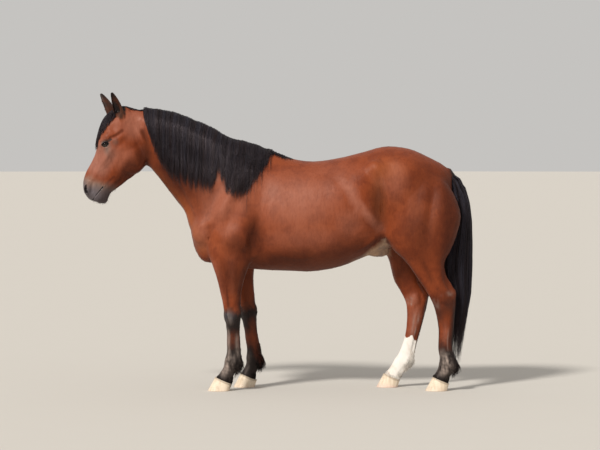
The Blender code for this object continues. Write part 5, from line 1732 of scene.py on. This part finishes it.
def pickRoots(area, here, count, short, long):  # places among those allowed, and the hair's lengths
    odds = area * here
    picked = rng.choice(len(area), min(count, np.count_nonzero(here)), replace=False, p=odds / odds.sum())
    return picked, rng.uniform(short, long, len(picked))


def buildTufts(skin, drawn, normals, area):  # where the coat breaks the form
    x, y, z = drawn.T
    out = np.abs(y)
    down, front, _ = headPlaces(x, z)
    onHead = (x < -0.8) & (z > 1.1)
    free = (1 - readShare(skin, 'bare')) * (1 - readShare(skin, 'muzzle') * 0.8) * (z > 0.1) * (z < 1.765)
    wanted = 0.04 + 1.0 * smoothStep(-0.5, -0.95, normals[:, 2]) * (z > 0.6) * (out < 0.1) \
        + 1.6 * onHead * smoothStep(-0.07, -0.11, front) * (down < 0.42) \
        + 1.0 * ((z < 0.74) & (z > 0.16)) * smoothStep(0.2, 0.8, normals[:, 0]) \
        + 0.8 * (x > -0.24) * (x < -0.1) * (z > 0.78) * (z < 0.95) \
        + 0.8 * (x < -0.42) * (z < 1.15) * (out < 0.07) + 0.5 * (x > 0.96) * (z > 0.75) * (z < 1.3) \
        + 0.8 * (z > 1.4) * (x > -0.78) * (out < 0.03) * 0.3
    chance = area * wanted * free
    chosen = rng.choice(len(drawn), shortCoat['tufts'], replace=False, p=chance / chance.sum())
    small = np.where(onHead[chosen] | (z[chosen] < 0.3), 0.6, 1.0)
    ways = lieOfCoat(drawn[chosen]) + rng.normal(0, 0.1, (len(chosen), 3))
    long = small * rng.uniform(0.009, 0.015, len(chosen))
    lift = small * rng.uniform(0.001, 0.0024, len(chosen))
    return [tuftsFrom('coat_tufts_%d' % (k + 1), skin, chosen[k::2], ways[k::2], long[k::2], lift[k::2], 3,
                      shortCoat['strands'], 61 + k) for k in range(2)]


def buildFeathers(skin, drawn, normals, area):  # behind the fetlocks, up the backs of the cannons
    x, y, z = drawn.T
    roots, lengths, ways = [], [], []
    for (kind, word), (away, place) in limbPlaces(drawn).items():
        fetlock = 5.0 if kind == 'fore' else 7.0
        pale = (kind, word) == ('hind', 'right')
        axis = limbPath(kind, word)[::-1]
        behind = (x - np.interp(z, axis[:, 2], axis[:, 0])) / 0.04
        near = (away < 0.09) & (behind > 0.3) & (y * sides[word] > 0)
        for low, high, count, short, long, rear in shortCoat['feathered']:
            here = near & (place > fetlock + low) & (place < fetlock + high)
            picked, grown = pickRoots(area, here, count, short, long)
            roots.append(picked)
            lengths.append(grown * (0.7 if pale else 1))
            ways.append(np.tile((rear * (0.2 if pale else 0.7), 0.0, -1.0), (len(picked), 1)))
    roots, lengths, ways = np.concatenate(roots), np.concatenate(lengths), np.concatenate(ways)
    ways = ways * 0.8 + normals[roots] * 0.25 + rng.normal(0, 0.1, (len(roots), 3))
    return tuftsFrom('feathers', skin, roots, ways, lengths, lengths * 0.12, 5, shortCoat['feathers'], 63,
                     sag=0.3)


def buildFringes(skin, drawn, normals, area):  # over the hooves' tops, in the ears, under the chin
    x, y, z = drawn.T
    down, front, _ = headPlaces(x, z)
    spots = []
    for (kind, word), (away, place) in limbPlaces(drawn).items():
        top = 6.0 if kind == 'fore' else 8.0
        spots.append(('hoofTop',
                      (away < 0.09) & (place > top - 0.16) & (place < top + 0.03) & (y * sides[word] > 0)))
    spots.append(('inEar', (readShare(skin, 'earIn') > 0.6) & (z > 1.68) & (z < 1.75)
                  & (normals[:, 0] < -0.2)))
    spots.append(('chin', (x < -0.8) & (z > 1.1) & (down > 0.44) & (front < -0.02) & (normals[:, 2] < -0.2)))
    roots, lengths, lifts, ways = [], [], [], []
    for which, here in spots:
        count, short, long, low, high, way = shortCoat[which]
        picked, grown = pickRoots(area, here, count, short, long)
        roots.append(picked)
        lengths.append(grown)
        lifts.append(rng.uniform(low, high, len(picked)))
        ways.append(np.tile(way, (len(picked), 1)))
    roots = np.concatenate(roots)
    ways = np.concatenate(ways) + rng.normal(0, 0.14, (len(roots), 3))
    return tuftsFrom('fringes', skin, roots, ways, np.concatenate(lengths), np.concatenate(lifts), 4,
                     shortCoat['fringes'], 64)


def buildShortCoat(skin):
    points, normals = readPoints(skin), readNormals(skin)
    given = (skin, points - drawnShift, normals, pointAreas(skin, points))
    return buildTufts(*given) + [buildFeathers(*given), buildFringes(*given)]


lashes = {
    'count': 90,
    'strands': {'Strands': 1, 'Width': 0.0, 'Depth': 0.0, 'Gather': 1.0, 'Thickness': 0.00042, 'Tip': 0.2,
                'Wave': 0.0008, 'Wave Scale': 60.0, 'Shortest': 0.8}}


def buildLashes():
    grown = []
    tilt = math.radians(eyes['tilt'])
    t = np.linspace(0, 1, 6)[:, None]
    for side in sides.values():
        centre = np.array(eyes['at']) * (1, side, 1)
        for i in range(lashes['count']):
            s = -0.8 + 1.6 * (i + rng.uniform(0, 0.8)) / lashes['count']
            u = s * eyes['length']
            v = eyes['upper'] * (1 - s * s) ** 0.62 + 0.0008
            r = eyes['radius'] + 0.0026
            out = math.sqrt(max(r * r - u * u - v * v, 1e-8))
            away = (u * math.cos(tilt) - v * math.sin(tilt), side * out,
                    u * math.sin(tilt) + v * math.cos(tilt))
            long = rng.uniform(0.011, 0.017) * (1 - 0.35 * abs(s))
            way = np.array((s * 0.35 + 0.1, side * 1.0, -0.25)) + rng.normal(0, 0.05, 3)
            curl = way * t + np.array((0, 0, 0.3)) * t * t - np.array((0, 0, 0.2)) * t
            path = centre + away + curl * long
            grown.append((headTurn(path) + drawnShift, np.tile((0.0, 0.1, 1.0), (6, 1)), 0.0))
    return growHair('lashes', grown, hairFinish, lashes['strands'], 71)


studio = {
    'target': (0.1353, 0.0, 0.998), 'distance': 16.0, 'height': 1.56, 'lens': 158.0,
    'floor': (0.6, 0.57, 0.525, 1), 'sky': (0.93, 0.91, 0.88, 1), 'skyStrength': 0.6,
    'sunFrom': (-0.5, -0.76, 0.74), 'sunStrength': 3.1, 'sunAngle': 9.0}


def buildStudio():
    scene = bpy.context.scene
    lens = bpy.data.cameras.new('camera')
    lens.lens = studio['lens']
    lens.sensor_width = 36.0
    lens.clip_start, lens.clip_end = 0.5, 300.0
    camera = addObject('camera', lens)
    target = Vector(studio['target'])
    camera.location = (target.x, -studio['distance'], studio['height'])
    camera.rotation_euler = (target - camera.location).to_track_quat('-Z', 'Y').to_euler()
    scene.camera = camera
    scene.view_settings.view_transform = 'Standard'

    bm = bmesh.new()
    bmesh.ops.create_circle(bm, cap_ends=True, segments=96, radius=90.0)
    mesh = bpy.data.meshes.new('floor')
    bm.to_mesh(mesh)
    bm.free()
    floor = addObject('floor', mesh)
    material, board, fill = newMaterial('paleFloor')
    grain = board.noise(board.add('ShaderNodeTexCoord', out='Object'), 3.0, 4.0, 0.6)
    fill(**{'Base Color': board.mix(grain * 0.1, studio['floor'], (0.52, 0.49, 0.45, 1)), 'Roughness': 0.95,
            'Specular IOR Level': 0.1})
    floor.data.materials.append(material)

    sky = bpy.data.worlds.new('sky')
    sky.use_nodes = True
    background = sky.node_tree.nodes['Background']
    background.inputs['Color'].default_value = studio['sky']
    background.inputs['Strength'].default_value = studio['skyStrength']
    scene.world = sky
    sun = bpy.data.lights.new('sun', 'SUN')
    sun.energy, sun.angle = studio['sunStrength'], math.radians(studio['sunAngle'])
    sun.color = (1.0, 0.965, 0.91)
    lamp = addObject('sun', sun)
    lamp.rotation_euler = Vector(studio['sunFrom']).to_track_quat('Z', 'Y').to_euler()
    print('camera, floor and lights')


buildStudio()
skin = buildFlesh()
finishSkin(skin)
markingNames = ['black', 'white', 'slateSheen', 'greyHairAndSheen', 'muzzle', 'salmon', 'chin', 'eyeRing', 'bare', 'sheath',
                'earIn', 'deep', 'warm', 'paintedHighlight']
skin.data.materials.clear()
skin.data.materials.append(coatMaterial('bayCoat'))
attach(skin, 'root')
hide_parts('trunk', 'neck', 'head', 'ear_left', 'ear_right', 'foreleg_left', 'foreleg_right',
            'hindleg_left', 'hindleg_right')

horn, paleHorn = hornMaterial('hoofHorn', 0.75), hornMaterial('paleHoofHorn', 0.1)
for place in hoof['at']:
    piece = buildHoof(place)
    piece.data.materials.append(paleHorn if place == 'hind_right' else horn)
    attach(piece, 'root')
    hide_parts('hoof_' + place)
print('hooves made')

eyeFinish = eyeMaterial('eye')
for word in sides:
    piece = buildEye(word)
    piece.data.materials.append(eyeFinish)
    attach(piece, 'root')
    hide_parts('eye_' + word)
print('eyes made')

strandTree = growthTree()
hairFinish, tailFinish = hairMaterial('blackHair', 0.45), hairMaterial('blackTail', 0.26)
tuftFinish = coatMaterial('bayTufts', True)
skinTree = BVHTree.FromObject(skin, bpy.context.evaluated_depsgraph_get())
hair = {'mane': buildMane(skinTree) + [buildPollHair(skinTree)], 'forelock': [buildForelock(skinTree)],
        'tail': buildTail()}
for node, pieces in hair.items():
    for piece in pieces:
        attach(piece, 'root')
        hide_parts(node)
for piece in buildShortCoat(skin):
    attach(piece, 'root')
piece = buildLashes()
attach(piece, 'root')
print('hair grown')
